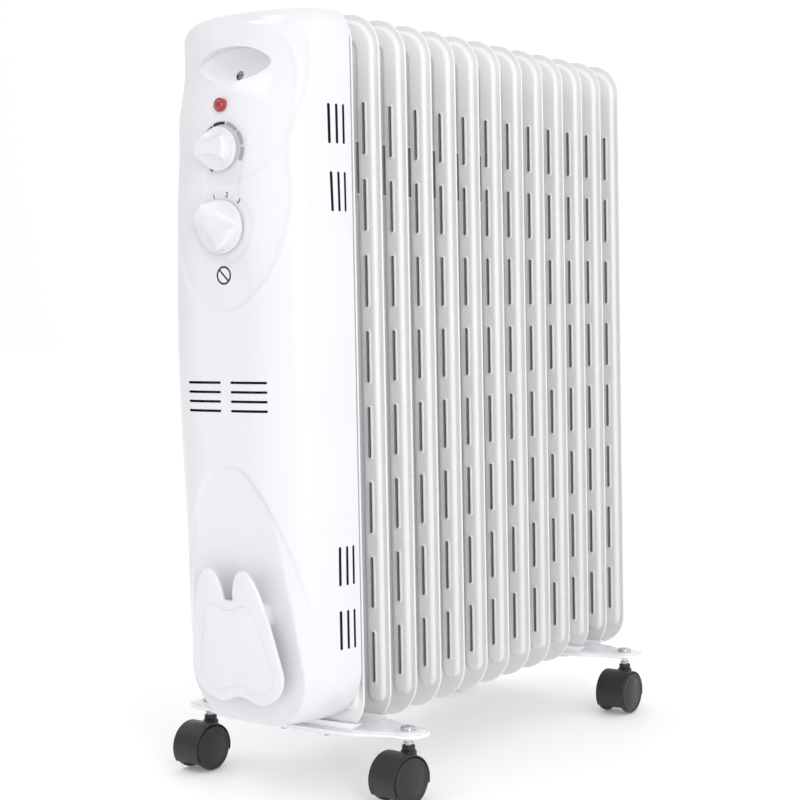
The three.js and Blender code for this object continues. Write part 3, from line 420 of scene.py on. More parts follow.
# screen printed ink: flat black and flat grey, a little broken at the edges of the grain
ink_black = finish_material(
    "black_screen_printed_ink", "#17171a", "#202024", (0.4, 0.5), 2500.0, (0.1, 0.01), patch=300.0
)
ink_grey = finish_material(
    "grey_screen_printed_ink", "#a3a3a6", "#98989b", (0.4, 0.5), 2500.0, (0.1, 0.01), patch=300.0
)


# ---------------------------------------------------------------- fins
def capsule_plate(x, top, width, length, half):
    """Round-ended upright plate that runs through the fin from front to back."""
    plate = block((x - width / 2, -half, top - length), (x + width / 2, half, top))
    round_corners(plate, 1, width / 2 * 0.98, 5)
    return plate


def fin_sheet():
    """Two sheets welded at a rolled hem: flat inside the rim, round at the corners."""
    sheet = block((-FIN_HALF, -HEM_HALF, FIN_BOTTOM), (FIN_HALF, HEM_HALF, FIN_TOP))
    round_corners(sheet, 1, FIN_CORNER, 14)
    for side in (-1, 1):
        pick(sheet, "faces", lambda f: f.normal.y * side > 0.9)
        bpy.ops.mesh.inset(thickness=mm(HEM_WIDTH), use_even_offset=True)
        bpy.ops.transform.translate(value=mm(0, -side * (HEM_HALF - SHEET_HALF), 0))
        leave()
    return soften(sheet, 0.55, 2, 30)


def fin_band():
    """Pressed band: up one leg, round the top corners and down the other leg, with domed ends."""
    centre = FIN_HALF - BAND_OUTER - BAND_WIDTH / 2
    corner_x = FIN_HALF - FIN_CORNER
    corner_z = FIN_TOP - FIN_CORNER
    leg_low = FIN_BOTTOM + BAND_END + 9
    bpy.ops.mesh.primitive_plane_add(size=1, location=mm(centre, 0, leg_low), scale=(1, 1, 1))
    band = bpy.context.object
    band.scale = (mm(BAND_WIDTH), mm(2 * BAND_HALF), 1)
    settle()
    take(band)
    bpy.ops.object.mode_set(mode="EDIT")
    bpy.ops.mesh.select_all(action="SELECT")
    bpy.ops.mesh.bevel(offset=mm(BAND_HALF * 0.92), segments=5, affect="VERTICES", profile=0.5)
    bpy.ops.mesh.select_all(action="SELECT")
    bpy.ops.mesh.extrude_region_move(TRANSFORM_OT_translate={"value": mm(0, 0, corner_z - leg_low)})
    bpy.ops.mesh.spin(
        steps=10, angle=math.pi / 2, center=mm(corner_x, 0, corner_z), axis=(0, 1, 0), use_auto_merge=False
    )
    bpy.ops.mesh.extrude_region_move(TRANSFORM_OT_translate={"value": mm(-2 * corner_x, 0, 0)})
    bpy.ops.mesh.spin(
        steps=10, angle=math.pi / 2, center=mm(-corner_x, 0, corner_z), axis=(0, 1, 0), use_auto_merge=False
    )
    bpy.ops.mesh.extrude_region_move(TRANSFORM_OT_translate={"value": mm(0, 0, leg_low - corner_z)})
    leave()
    # each end is drawn out in three shrinking steps to a dome
    for side in (-1, 1):
        for drop, shrink in ((4.2, 0.94), (3.0, 0.8), (1.8, 0.62)):
            pick(band, "faces", lambda f: f.normal.z < -0.9 and middle(f).x * side > 0)
            bpy.ops.mesh.extrude_region_move(TRANSFORM_OT_translate={"value": mm(0, 0, -drop)})
            bpy.ops.transform.resize(
                value=(shrink, shrink, 1), center_override=mm(side * centre, 0, leg_low)
            )
            leave()
    take(band)
    bpy.ops.object.mode_set(mode="EDIT")
    bpy.ops.mesh.select_all(action="SELECT")
    bpy.ops.mesh.remove_doubles(threshold=mm(0.01))
    bpy.ops.mesh.normals_make_consistent(inside=False)
    leave()
    return band


def fin_chamber():
    """Oil chamber: a soft pillow with two upright valleys, and the round necks that join the fins."""
    low, top = FIN_BOTTOM + 28, FIN_TOP - 28
    pillow = block((-36, -8.5, low), (36, 8.5, top))
    round_corners(pillow, 1, 24, 8)
    soften(pillow, 5.5, 4, 40)
    valleys = []
    for side in (-1, 1):
        for x in (-13, 13):
            valley = bar("z", 5.5, (x, side * 12.2, (low + top) / 2), top - low - 210, 20)
            valleys.append(soften(valley, 2.5, 3, 60))
    combine(pillow, [gather(valleys)], "DIFFERENCE")
    soften(pillow, 0.8, 2, 38)
    necks = []
    for z in (FIN_BOTTOM + HUB_FROM_END, FIN_TOP - HUB_FROM_END):
        neck = bar("y", HUB_R, (0, 0, z), HUB_LENGTH, 40)
        necks.append(soften(neck, 1.2, 2, 60))
    return combine(pillow, [gather(necks)], "UNION")


def fin_model():
    """One finished fin about Y = 0."""
    fin = fin_sheet()
    columns = []
    for side in (-1, 1):
        x = side * (FIN_HALF - SLOT_FROM_EDGE)
        for row in range(SLOT_ROWS):
            columns.append((x, FIN_TOP - SLOT_FROM_TOP - row * SLOT_PITCH, BAND_HALF + LIP_PROUD))
        inner_x = side * (FIN_HALF - INNER_SLOT_FROM_EDGE)
        columns.append((inner_x, FIN_TOP - INNER_SLOT_FROM_TOP, BAND_HALF - 0.4))
    lip = 2 * LIP_WIDTH
    lips = [
        capsule_plate(x, top + LIP_WIDTH, SLOT_WIDTH + lip, SLOT_LENGTH + lip, half)
        for x, top, half in columns
    ]
    slots = [capsule_plate(x, top, SLOT_WIDTH, SLOT_LENGTH, 20) for x, top, _ in columns]
    combine(fin, [fin_band()], "UNION")
    combine(fin, [soften(gather(lips), 0.75, 3, 60)], "UNION")
    two_finishes(fin, 0)
    combine(fin, [inner_faces(gather(slots))], "DIFFERENCE")
    return combine(fin, [fin_chamber()], "UNION")


first_fin = fin_model()
for name in FIN_NAMES:
    low, high = box_mm(name)
    fin = twin(first_fin, shift(y=(low.y + high.y) / 2))
    # the second finish puts grey painted shade on the slot walls
    finish(fin, "pressed_" + name, "heater", [enamel, slot_wall_painted_shade], [name], angle=38)
bpy.data.objects.remove(first_fin, do_unlink=True)


# ---------------------------------------------------------------- control cover
def smooth(t):
    """0 to 1 with soft ends."""
    t = np.clip(t, 0, 1)
    return t * t * (3 - 2 * t)


def spline_ring(points, steps=10):
    """Closed smooth ring through points, from one Catmull-Rom stretch per point."""
    ring = []
    count = len(points)
    for i in range(count):
        p0, p1, p2, p3 = (np.array(points[(i + k - 1) % count], float) for k in range(4))
        for s in range(steps):
            t = s / steps
            bend = 2 * p0 - 5 * p1 + 4 * p2 - p3
            twist = 3 * p1 - p0 - 3 * p2 + p3
            ring.append(0.5 * (2 * p1 + (p2 - p0) * t + bend * t * t + twist * t**3))
    return np.array(ring)


def depth_inside(ring, x, z):
    """Distance from each point to the ring, positive inside it."""
    inside = np.zeros(x.shape, bool)
    nearest = np.full(x.shape, 1e9)
    for a, b in zip(ring, np.roll(ring, -1, axis=0)):
        span = b - a
        t = np.clip(((x - a[0]) * span[0] + (z - a[1]) * span[1]) / max(span @ span, 1e-9), 0, 1)
        nearest = np.minimum(nearest, np.hypot(x - a[0] - t * span[0], z - a[1] - t * span[1]))
        crosses = (a[1] > z) != (b[1] > z)
        if a[1] != b[1]:
            inside ^= crosses & (x < (b[0] - a[0]) * (z - a[1]) / (b[1] - a[1]) + a[0])
    return np.where(inside, nearest, -nearest)


def mirrored(right):
    """Full ring from the points of its right half, top first."""
    return right + [(-x, z) for x, z in reversed(right) if x > 0.1]


def from_top(points):
    """Right half of a ring on the cover, given as distance across and down from the top, as a full ring."""
    return mirrored([(x, COVER_TOP - down) for x, down in points])


# shield round all the controls, a little waisted between the two dials
SHIELD = from_top(
    [(0, 5), (36, 8), (56, 16), (62, 30), (63, 52), (62, 72), (57, 93), (54, 110), (55.5, 130), (57, 146),
     (54.5, 167), (48, 195), (35, 217), (17, 231), (0, 235)]
)
# egg round the recess, the lamp and the upper dial
EGG = from_top(
    [(0, 13), (20, 15.5), (40, 21), (50, 33), (55, 50), (57, 70), (55, 96), (47, 116), (29, 130), (0, 136)]
)
# arched field that the cord wrap stands in, past the bottom of the cover
FIELD_TOP = COVER_BOTTOM + 207
FIELD = mirrored(
    [(0, FIELD_TOP), (17, FIELD_TOP - 6), (34, FIELD_TOP - 27), (48, FIELD_TOP - 58), (59, FIELD_TOP - 98),
     (66, FIELD_TOP - 138), (70.5, FIELD_TOP - 176), (73, FIELD_TOP - 215), (74, FIELD_TOP - 260)]
)
FIELD_DEPTH_TOP = 70.5
FIELD_DEPTH_LOW = 50
FIRST_FIN = (box_mm("fin_01")[0].y + box_mm("fin_01")[1].y) / 2
RECESS_Z = COVER_TOP - 47


def rounding(radius, past):
    """How far a quarter round has come in, that far past its start."""
    past = min(max(past, 0), radius)
    return radius - math.sqrt(radius * radius - past * past)


def cover_section(z):
    """Half width, front depth and corner size of the cover's plan at height z."""
    up, down = z - COVER_TOP, COVER_BOTTOM - z
    half = COVER_HALF - rounding(TOP_CORNER, up + TOP_CORNER) - rounding(LOW_CORNER, down + LOW_CORNER)
    brow = BROW * smooth((up + BROW_DROP) / BROW_TALL)
    depth = FIRST_FIN - COVER_FRONT - brow
    depth -= rounding(TOP_ROUND, up + TOP_ROUND) + rounding(LOW_ROUND, down + LOW_ROUND)
    above = np.clip((up + TIGHT_DROP) / FLARE, 0, 1) ** 2
    below = smooth(-(up + TIGHT_DROP) / FLARE)
    corner = TIGHT_CORNER + HIGH_MORE * above + LOW_MORE * below
    return half, depth, corner - END_LESS * smooth((up + END_TALL) / END_TALL)


def cover_levels(step):
    """Heights of the rings, closer together where the cover rounds into its top and bottom."""
    levels = [COVER_BOTTOM + LOW_ROUND * (1 - math.cos(a)) for a in np.linspace(0, math.pi / 2, 7)]
    top = [COVER_TOP - TOP_ROUND * (1 - math.sin(a)) for a in np.linspace(0, math.pi / 2, 15)]
    count = int((top[0] - levels[-1]) / step)
    return levels + list(np.linspace(levels[-1], top[0], count + 1)[1:-1]) + top


def cover_ring(z, inset, steps, rear):
    """Points of one plan outline with their outward directions."""
    half, depth, corner = cover_section(z)
    half, depth = half - inset, depth - inset
    rx = min(corner - inset, half - 1)
    ry = min(corner - inset, depth - rear - 1)
    side_steps, corner_steps, front_steps = steps
    points = []
    for i in range(side_steps):
        points.append((half, rear + (depth - ry - rear) * i / side_steps, 1, 0))
    for i in range(corner_steps + 1):
        a = i / corner_steps * math.pi / 2
        c, s = math.cos(a), math.sin(a)
        points.append((half - rx + rx * c, depth - ry + ry * s, c, s))
    front = [((half - rx) * (1 - 2 * i / front_steps), depth, 0, 1) for i in range(1, front_steps)]
    back = [(-x, d, -nx, nd) for x, d, nx, nd in reversed(points)]
    return [(x, FIRST_FIN - d, nx, -nd) for x, d, nx, nd in points + front + back]


def pressed_in(points, wall=0.0):
    """How far each point of the cover's skin moves in: shield, egg, dial wells and lower field."""
    x, y, z = points[:, 0], points[:, 1], points[:, 2]
    tilt = (FIELD_DEPTH_TOP - FIELD_DEPTH_LOW) / (FIELD_TOP - COVER_BOTTOM)
    floor = FIRST_FIN - (FIELD_DEPTH_TOP - (FIELD_TOP - z) * tilt) + wall
    edge = smooth((depth_inside(spline_ring(FIELD), x, z) + 2.6 + 2 * wall) / 5.2)
    field = np.maximum(floor - y, FIELD_STEP * np.clip(-points[:, 4], 0, 1)) * edge
    if wall:
        return np.zeros(x.shape), field
    forward = smooth((FIRST_FIN - 18 - y) / 10)
    rim = depth_inside(spline_ring(SHIELD), x, z)
    shield = smooth((rim + 1.1) / 2.2) * SHIELD_DEEP - np.exp(-(((rim + 2.8) / 1.5) ** 2)) * SHIELD_LIP
    shell = depth_inside(spline_ring(EGG), x, z)
    shield += smooth((shell + 1.1) / 2.2) * EGG_DEEP - np.exp(-(((shell + 2.6) / 1.4) ** 2)) * SHIELD_LIP
    thermo = THERMO_R + 7.5 - np.hypot(x, z - THERMO_Z)
    select = SELECT_R + 8 - np.hypot(x, z - SELECT_Z)
    waist = 16 + np.abs(z - (THERMO_Z + SELECT_Z) / 2) * 0.25 - np.abs(x)
    waist = np.where((z < THERMO_Z) & (z > SELECT_Z), waist, -50)
    well = smooth((np.maximum(np.maximum(thermo, select), waist) + 0.8) / 1.6) * WELL_DEEP
    return (shield + well) * forward, field


def cover_body(inset, step, steps, rear, wall=0.0):
    """Closed body of the cover: rings from bottom to top, flat caps and a flat back."""
    levels = cover_levels(step)
    height = COVER_TOP - COVER_BOTTOM
    rings = []
    for z in levels:
        at = COVER_BOTTOM + inset + (z - COVER_BOTTOM) * (height - 2 * inset) / height
        rings.append([(x, y, at, nx, ny) for x, y, nx, ny in cover_ring(z, inset, steps, rear)])
    count = len(rings[0])
    data = np.array([p for ring in rings for p in ring])
    along, back = pressed_in(data, wall)
    data[:, 0] -= data[:, 3] * along
    data[:, 1] -= data[:, 4] * along
    data[:, 1] += back
    bpy.ops.mesh.primitive_grid_add(x_subdivisions=count - 1, y_subdivisions=len(rings) - 1, size=1)
    body = bpy.context.object
    body.data.vertices.foreach_set("co", (data[:, :3] * 0.001).ravel())
    body.data.update()
    take(body)
    bpy.ops.object.mode_set(mode="EDIT")
    bpy.ops.mesh.select_mode(type="EDGE")
    bpy.ops.mesh.select_all(action="DESELECT")
    bpy.ops.mesh.select_non_manifold(extend=False, use_wire=False, use_multi_face=False, use_verts=False)
    bpy.ops.mesh.edge_face_add()
    leave()
    # that one face lies over the whole rim, so it goes again, and the two ends and the back get one each
    pick(body, "faces", lambda f: len(f.verts) > 4)
    bpy.ops.mesh.delete(type="ONLY_FACE")
    leave()
    for ring_index in (0, len(rings) - 1):
        first = ring_index * count
        pick(body, "verts", lambda v: first <= v.index < first + count)
        bpy.ops.mesh.edge_face_add()
        leave()
    pick(body, "verts", lambda v: v.index % count in (0, count - 1))
    bpy.ops.mesh.edge_face_add()
    leave()
    take(body)
    bpy.ops.object.mode_set(mode="EDIT")
    bpy.ops.mesh.select_all(action="SELECT")
    bpy.ops.mesh.normals_make_consistent(inside=False)
    leave()
    return body


def air_slots():
    """Tools for the louvres of the front and the upright slots of the sides."""
    tools = []
    for side in (-1, 1):
        for row in range(LOUVRE_ROWS):
            z = COVER_TOP - LOUVRE_DROP - row * LOUVRE_PITCH
            low = (side * LOUVRE_MIDDLE - LOUVRE_HALF, COVER_FRONT - 5, z - 1)
            louvre = block(low, (side * LOUVRE_MIDDLE + LOUVRE_HALF, COVER_FRONT + 20, z + 1))
            round_corners(louvre, 1, 0.95, 3)
            tools.append(louvre)
        upper = [(COVER_TOP - drop, 16) for drop in (76, 128.5)]
        lower = [(COVER_BOTTOM + rise, 14.5) for rise in (143, 92.5)]
        for top, first in upper + lower:
            for k in range(VENT_COUNT):
                x, y = side * (COVER_HALF - 5), FIRST_FIN - first - VENT_PITCH * k
                low = (x - 9, y - VENT_WIDTH / 2, top - VENT_LENGTH)
                slot = block(low, (x + 9, y + VENT_WIDTH / 2, top))
                round_corners(slot, 0, 1.15, 3)
                tools.append(slot)
    return gather(tools)


def leaf(grow):
    """Eye-shaped outline about the origin, grown by a margin."""
    wide, tall = 1 + grow / 37, 1 + grow / 15
    right = [(0, 15.5), (18, 13.5), (30, 8.5), (37, 2), (34, -4), (21, -10.5), (0, -14)]
    return [tuple(p) for p in spline_ring([(x * wide, z * tall) for x, z in mirrored(right)], 5)]


def finger_scoop(grow):
    """Tool for the finger recess: leaf outline, deep under the upper edge and running out below."""
    outline = [(x, z + RECESS_Z + 3) for x, z in leaf(grow)]
    body = slab(outline, "y", COVER_FRONT - 5, COVER_FRONT + 40)
    floor = ball((47 + grow, 19 + grow, 27 + grow), (0, COVER_FRONT + 9, RECESS_Z + 8), 0, 40)
    return combine(floor, [body], "INTERSECT")


def cover_model():
    """Finished cover: shaped skin, hollow inside, finger scoop, screw well, lamp hole and air slots."""
    step = 1.45
    steps = ((8, 66, 30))
    rear = FIRST_FIN - COVER_REAR
    cover = cover_body(0, step, steps, rear)
    hollow = cover_body(HOLLOW_IN, 9, (3, 16, 8), rear - 2, HOLLOW_IN)
    combine(hollow, [finger_scoop(COVER_WALL)], "DIFFERENCE")
    two_finishes(cover, 0)
    combine(cover, [inner_faces(hollow)], "DIFFERENCE")
    combine(cover, [finger_scoop(0)], "DIFFERENCE")
    screw_well = bar("y", 3.7, (0, COVER_FRONT + 26, RECESS_Z - 3), 18, 24)
    lamp_hole = bar("y", LAMP_R + 0.4, (0, COVER_FRONT + 3, LAMP_Z), 30, 32)
    combine(cover, [inner_faces(screw_well), lamp_hole, inner_faces(air_slots())], "DIFFERENCE")
    return cover


cover = cover_model()
# the second finish is the dark painted shade on the inner walls
cover_looks = [abs_white, abs_inside_painted_shade]
finish(cover, "moulded_control_cover", "heater", cover_looks, ["control_cover"], angle=30)


# ---------------------------------------------------------------- dials and lamp
def dial_model(radius, height):
    """Knob about the origin, pointer up, front towards -Y: thin skirt, and a wedge between two scoops."""
    knob = bar("y", radius, (0, -2.2, 0), 4.4, 72)
    soften(knob, 0.9, 3, 60)
    top = bar("y", radius - 1.2, (0, -height / 2 - 1, 0), height - 2, 72)
    soften(top, 2.0, 4, 60)
    scoops = []
    for side in (-1, 1):
        scoop = ball((radius * 0.95, height * 0.9, radius * 1.45), (0, 0, 0), 0, 32)
        lean = Matrix.Rotation(math.radians(side * -13), 4, "Y")
        offset = radius * 0.95 + 4.2
        scoop.data.transform(shift(side * offset, -height * 1.14, 0) @ lean)
        scoops.append(scoop)
    combine(top, scoops, "DIFFERENCE")
    soften(top, 0.45, 2, 40)
    return combine(knob, [top], "UNION")


def place_dial(name, node, shaft, body, points):
    low, high = box_mm(node)
    radius = (high.x - low.x) / 2
    at = Vector((0, high.y + 1.2, (low.z + high.z) / 2))
    knob = dial_model(radius, high.y + 1.2 - low.y)
    turn = Matrix.Rotation(math.radians(points), 4, "Y")
    knob.data.transform(shift(*at) @ turn)
    finish(knob, name, body, abs_white, [node], angle=35)
    nodes[shaft].material_slots[0].material = zinc


place_dial("moulded_thermostat_knob", "thermostat_knob", "thermostat_shaft", "thermostat_dial", -90)
place_dial("moulded_selector_knob", "selector_knob", "selector_shaft", "selector_dial", -50)

lens = bar("y", LAMP_R - 0.3, (0, COVER_FRONT + 4.5, LAMP_Z), 13, 48)
soften(lens, 3.2, 7, 60)
bezel = bar("y", LAMP_R + 0.7, (0, COVER_FRONT + 2.2, LAMP_Z), 5.2, 48)
combine(lens, [soften(bezel, 0.5, 2, 60)], "UNION")
finish(lens, "ruby_lamp_lens", "heater", ruby, ["lamp_lens"], angle=50)

PRINT_Y = COVER_FRONT + SHIELD_DEEP + WELL_DEEP
PRINT_THICK = 0.12


def arc_print(name, z, inner, outer, start, stop, look, y=PRINT_Y, x=0):
    """Printed ring segment, in degrees clockwise from straight up."""
    angles = [math.radians(start + (stop - start) * i / 12) for i in range(13)]
    ring = [(x + outer * math.sin(a), z + outer * math.cos(a)) for a in angles]
    ring += [(x + inner * math.sin(a), z + inner * math.cos(a)) for a in reversed(angles)]
    mark = slab(ring, "y", y - PRINT_THICK, y + 0.3)
    return finish(mark, name, "heater", look)


# start and end of each segment in degrees, its width, its ink
segments = (
    (-150, -142, 0.8, ink_black), (-48, -26, 1.5, ink_black), (-22, 10, 2.0, ink_black),
    (16, 48, 2.4, ink_grey), (53, 84, 2.7, ink_grey), (89, 118, 2.9, ink_grey),
)
for index, (start, stop, width, look) in enumerate(segments):
    inner = THERMO_R + 2.0
    arc_print(f"thermostat_scale_{index + 1}", THERMO_Z, inner, inner + width, start, stop, look)

for index, angle in enumerate((-50, -20, 10, 40)):
    bpy.ops.object.text_add(location=(0, 0, 0))
    digit = bpy.context.object
    digit.data.body = str(index)
    digit.data.size = mm(5.6)
    digit.data.align_x = "CENTER"
    digit.data.align_y = "CENTER"
    digit.data.extrude = mm(0.2)
    bpy.ops.object.convert(target="MESH")
    digit = bpy.context.object
    a = math.radians(angle)
    reach = SELECT_R + 4.2
    upright = Matrix.Rotation(math.pi / 2, 4, "X")
    turn = Matrix.Rotation(a, 4, "Y")
    digit.data.transform(shift(reach * math.sin(a), PRINT_Y, SELECT_Z + reach * math.cos(a)) @ turn @ upright)
    finish(digit, f"selector_number_{index}", "heater", ink_black)

SIGN_Z = SELECT_Z - SELECT_R - 8 - 8.8
SIGN_Y = COVER_FRONT + SHIELD_DEEP
SIGN_R = 7.3
around = [math.radians(a) for a in range(0, 360, 6)]
sign = [(SIGN_R * math.sin(a), SIGN_Z + SIGN_R * math.cos(a)) for a in around]
outer = slab(sign, "y", SIGN_Y - PRINT_THICK, SIGN_Y + 0.3)
inner = slab([(x * 0.8, SIGN_Z + (z - SIGN_Z) * 0.8) for x, z in sign], "y", SIGN_Y - 1, SIGN_Y + 1)
combine(outer, [inner], "DIFFERENCE")
stroke = block((-6.4, SIGN_Y - PRINT_THICK, SIGN_Z - 0.7), (6.4, SIGN_Y + 0.3, SIGN_Z + 0.7))
about = shift(0, 0, SIGN_Z) @ Matrix.Rotation(math.radians(45), 4, "Y") @ shift(0, 0, -SIGN_Z)
stroke.data.transform(about)
combine(outer, [stroke], "UNION")
finish(outer, "printed_ring_with_bar", "heater", ink_black)


# ---------------------------------------------------------------- cord wrap
WRAP_LOW, WRAP_HIGH = box_mm("cord_wrap")
WRAP_THICK = 4
WRAP_LEAN = math.radians(9)


def bezier_ring(start, curves, steps=8):
    """Ring of points along joined bezier stretches."""
    ring = []
    here = np.array(start, float)
    for a, b, c in curves:
        a, b, c = (np.array(p, float) for p in (a, b, c))
        for s in range(1, steps + 1):
            t = s / steps
            near = (1 - t) ** 3 * here + 3 * (1 - t) ** 2 * t * a
            ring.append(tuple(near + 3 * (1 - t) * t * t * b + t**3 * c))
        here = c
    return ring


def both_halves(right):
    """Right half of a ring, from the top middle to the bottom middle, with its mirror image."""
    return right + [(-x, z) for x, z in reversed(right[:-1]) if x > 0.05]


def wrap_outline(half, tall, notch, notch_half, dip):
    """Outline with two upper lobes, a notch, full sides and two lower lobes; top tips at height 0."""
    n = notch_half
    lobe = half * 0.4
    curves = [
        [(n, -notch), (n, -notch), (n, -notch + n)],
        [(n * 1.4, -notch + 3 * n), (n * 2, 0), (lobe, 0)],
        [(half * 0.6, 0), (half * 0.8, -0.27 * tall), (half * 0.87, -0.455 * tall)],
        [(half * 0.94, -0.62 * tall), (half * 1.01, -0.73 * tall), (half, -0.78 * tall)],
        [(half * 0.98, -0.93 * tall), (half * 0.6, -tall), (half * 0.43, -tall)],
        [(half * 0.25, -tall), (half * 0.2, -tall + dip), (0, -tall + dip)],
    ]
    return both_halves(bezier_ring((0, -notch), curves))


def wrap_model():
    """Leaning plate with a raised field, on its post."""
    half = WRAP_HIGH.x
    tall = (WRAP_HIGH.z - WRAP_LOW.z) / math.cos(WRAP_LEAN)
    plate = slab(wrap_outline(half, tall, 25.5, 5, 5), "y", 0, WRAP_THICK)
    soften(plate, 1.5, 4, 50)
    inner = [
        [(7, -33.5), (9, -29), (16, -29)],
        [(24, -29), (27, -42), (29.5, -54)],
        [(32, -68), (36.5, -78), (36, -88)],
        [(35.5, -97), (26, -100), (19, -100)],
        [(12, -100), (8, -95.5), (0, -95.5)],
    ]
    field = slab(both_halves(bezier_ring((0, -33.5), inner)), "y", -0.9, 1)
    soften(field, 0.5, 3, 50)
    combine(plate, [field], "UNION")
    plate.data.transform(Matrix.Rotation(WRAP_LEAN, 4, "X"))
    plate.data.transform(shift(0, WRAP_LOW.y + 0.3, WRAP_HIGH.z - 0.4))
    post_z = WRAP_HIGH.z - 38
    post = block((-31, WRAP_LOW.y + 7, post_z - 11), (31, WRAP_HIGH.y, post_z + 11))
    round_corners(post, 1, 8, 6)
    soften(post, 0.8, 2, 60)
    return combine(plate, [post], "UNION")


finish(wrap_model(), "moulded_cord_wrap", "heater", abs_white, ["cord_wrap"], angle=35)


# ---------------------------------------------------------------- feet
STEM_X = (box_mm("castor_front_right_stem")[0].x + box_mm("castor_front_right_stem")[1].x) / 2


def foot_outline(inset):
    """Seen from above: wide middle, soft shoulders and round ends."""
    end_r = 17.5 - inset
    mid = 28 - inset
    flat = 66
    right = [(0, mid)]
    shoulder = bezier_ring((flat, mid), [[(flat + 12, mid), (STEM_X - 20, end_r), (STEM_X, end_r)]], 12)
    right += [(flat, mid)] + shoulder[:-1]
    right += [(STEM_X + end_r * math.sin(a), end_r * math.cos(a)) for a in np.linspace(0, math.pi, 25)]
    right += [(x, -y) for x, y in reversed(shoulder[:-1])] + [(flat, -mid), (0, -mid)]
    return right + [(-x, y) for x, y in reversed(right[1:-1])]


def foot_model():
    """Foot plate about Y = 0: crowned, edge rolled down, a ring round each stem, saddles for two fins."""
    top = box_mm("foot_plate_front")[1].z
    plate = slab(foot_outline(0), "z", top - 3.6, top - 0.9)
    soften(plate, 1.1, 3, 50)
    crown = slab(foot_outline(3.6), "z", top - 3, top)
    soften(crown, 0.85, 3, 50)
    combine(plate, [crown], "UNION")
    hollow = slab(foot_outline(1.8), "z", top - 5, top - 2.0)
    combine(plate, [hollow], "DIFFERENCE")
    rings = []
    for side in (-1, 1):
        ring = bar("z", 11.5, (side * STEM_X, 0, top - 0.6), 1.8, 48)
        rings.append(soften(ring, 0.8, 3, 60))
    combine(plate, rings, "UNION")
    saddles, seats = [], []
    for side in (-1, 1):
        y = side * 18.5
        saddle = block((-FIN_HALF - 3, y - 4.2, FIN_BOTTOM - 2.1), (FIN_HALF + 3, y + 4.2, FIN_TOP))
        round_corners(saddle, 1, FIN_CORNER + 3, 12, lambda m: m.z < 300)
        lid = block((-200, -60, top + 5), (200, 60, 900))
        combine(saddle, [lid], "DIFFERENCE")
        saddles.append(soften(saddle, 0.9, 2, 60))
        seat = block((-FIN_HALF - 0.3, y - 1.6, FIN_BOTTOM - 0.3), (FIN_HALF + 0.3, y + 1.6, FIN_TOP))
        round_corners(seat, 1, FIN_CORNER + 0.3, 12, lambda m: m.z < 300)
        seats.append(seat)
    combine(plate, saddles, "UNION")
    holes = [bar("z", 3.3, (side * STEM_X, 0, top), 40, 24) for side in (-1, 1)]
    bolts = [bar("z", 2.9, (side * 22.8, 0, top), 40, 20) for side in (-1, 1)]
    combine(plate, seats, "DIFFERENCE")
    return combine(plate, holes + bolts, "DIFFERENCE")


foot = foot_model()
for end in ("front", "rear"):
    low, high = box_mm(f"foot_plate_{end}")
    plate = twin(foot, shift(y=(low.y + high.y) / 2))
    node = f"foot_plate_{end}"
    # the foot plates take the lighter copy of the enamel, painted light
    finish(plate, f"pressed_{node}", "heater", enamel_painted_lighter, [node], angle=35)
bpy.data.objects.remove(foot, do_unlink=True)


# ---------------------------------------------------------------- castors
WHEEL_R = 19
TRAIL = 11.5
WHEEL_OUT = 15
WHEEL_IN = 9
HOOD_R = 21
SWIVEL_TOP = 44.2


def sector(r_out, r_in, low_rear=-14, low_front=214, steps=28):
    """Ring sector seen along the axle, open below."""
    angles = [math.radians(low_rear + (low_front - low_rear) * i / steps) for i in range(steps + 1)]
    outside = [(-TRAIL + r_out * math.cos(a), WHEEL_R + r_out * math.sin(a)) for a in angles]
    if r_in == 0:
        return outside + [(-TRAIL, WHEEL_R - r_out * 0.35)]
    return outside + [(-TRAIL + r_in * math.cos(a), WHEEL_R + r_in * math.sin(a)) for a in reversed(angles)]


def hood_model():
    """Hood over both wheels with a rim round each disc, the web between the wheels and the collar."""
    hood = slab(sector(HOOD_R, 19.7), "x", -14, 14)
    soften(hood, 0.6, 3, 50)
    web = slab(sector(20.4, 0), "x", -8.7, 8.7)
    soften(web, 1.4, 3, 50)
    rims = []
    for side in (-1, 1):
        rim = slab(sector(HOOD_R, 19.7), "x", side * 12.6, side * 14.3)
        rims.append(soften(rim, 0.5, 2, 50))
    collar = bar("z", 5.35, (0, 0, (30 + SWIVEL_TOP) / 2), SWIVEL_TOP - 30, 40)
    soften(collar, 0.7, 3, 60)
    step = bar("z", 6.6, (0, 0, 37.5), 5.5, 40)
    soften(step, 1.4, 3, 60)
    combine(hood, [web] + rims + [collar, step], "UNION")
    return combine(hood, [bar("z", 3.3, (0, 0, 45), 46, 24)], "DIFFERENCE")


def wheel_model(side):
    """One wheel: rounded tread, flat disc with a bevelled ring and a shallow dome."""
    centre = ((WHEEL_IN + WHEEL_OUT) / 2 * side, -TRAIL, WHEEL_R)
    wheel = bar("x", WHEEL_R, centre, WHEEL_OUT - WHEEL_IN, 72)
    pick(wheel, "edges", lambda e: abs(middle(e).x - WHEEL_IN * side) < 0.1)
    bpy.ops.mesh.bevel(offset=mm(2.2), segments=5, affect="EDGES")
    leave()
    pick(wheel, "edges", lambda e: abs(middle(e).x - WHEEL_OUT * side) < 0.1)
    bpy.ops.mesh.bevel(offset=mm(1.5), segments=4, affect="EDGES")
    leave()
    for thick, push in ((1.0, 0.0), (0.5, -0.45), (0.7, 0.0), (0.5, 0.3)):
        pick(wheel, "faces", lambda f: f.normal.x * side > 0.95 and len(f.verts) > 20)
        bpy.ops.mesh.inset(thickness=mm(thick), use_even_offset=True)
        bpy.ops.transform.translate(value=mm(side * push, 0, 0))
        leave()
    return wheel


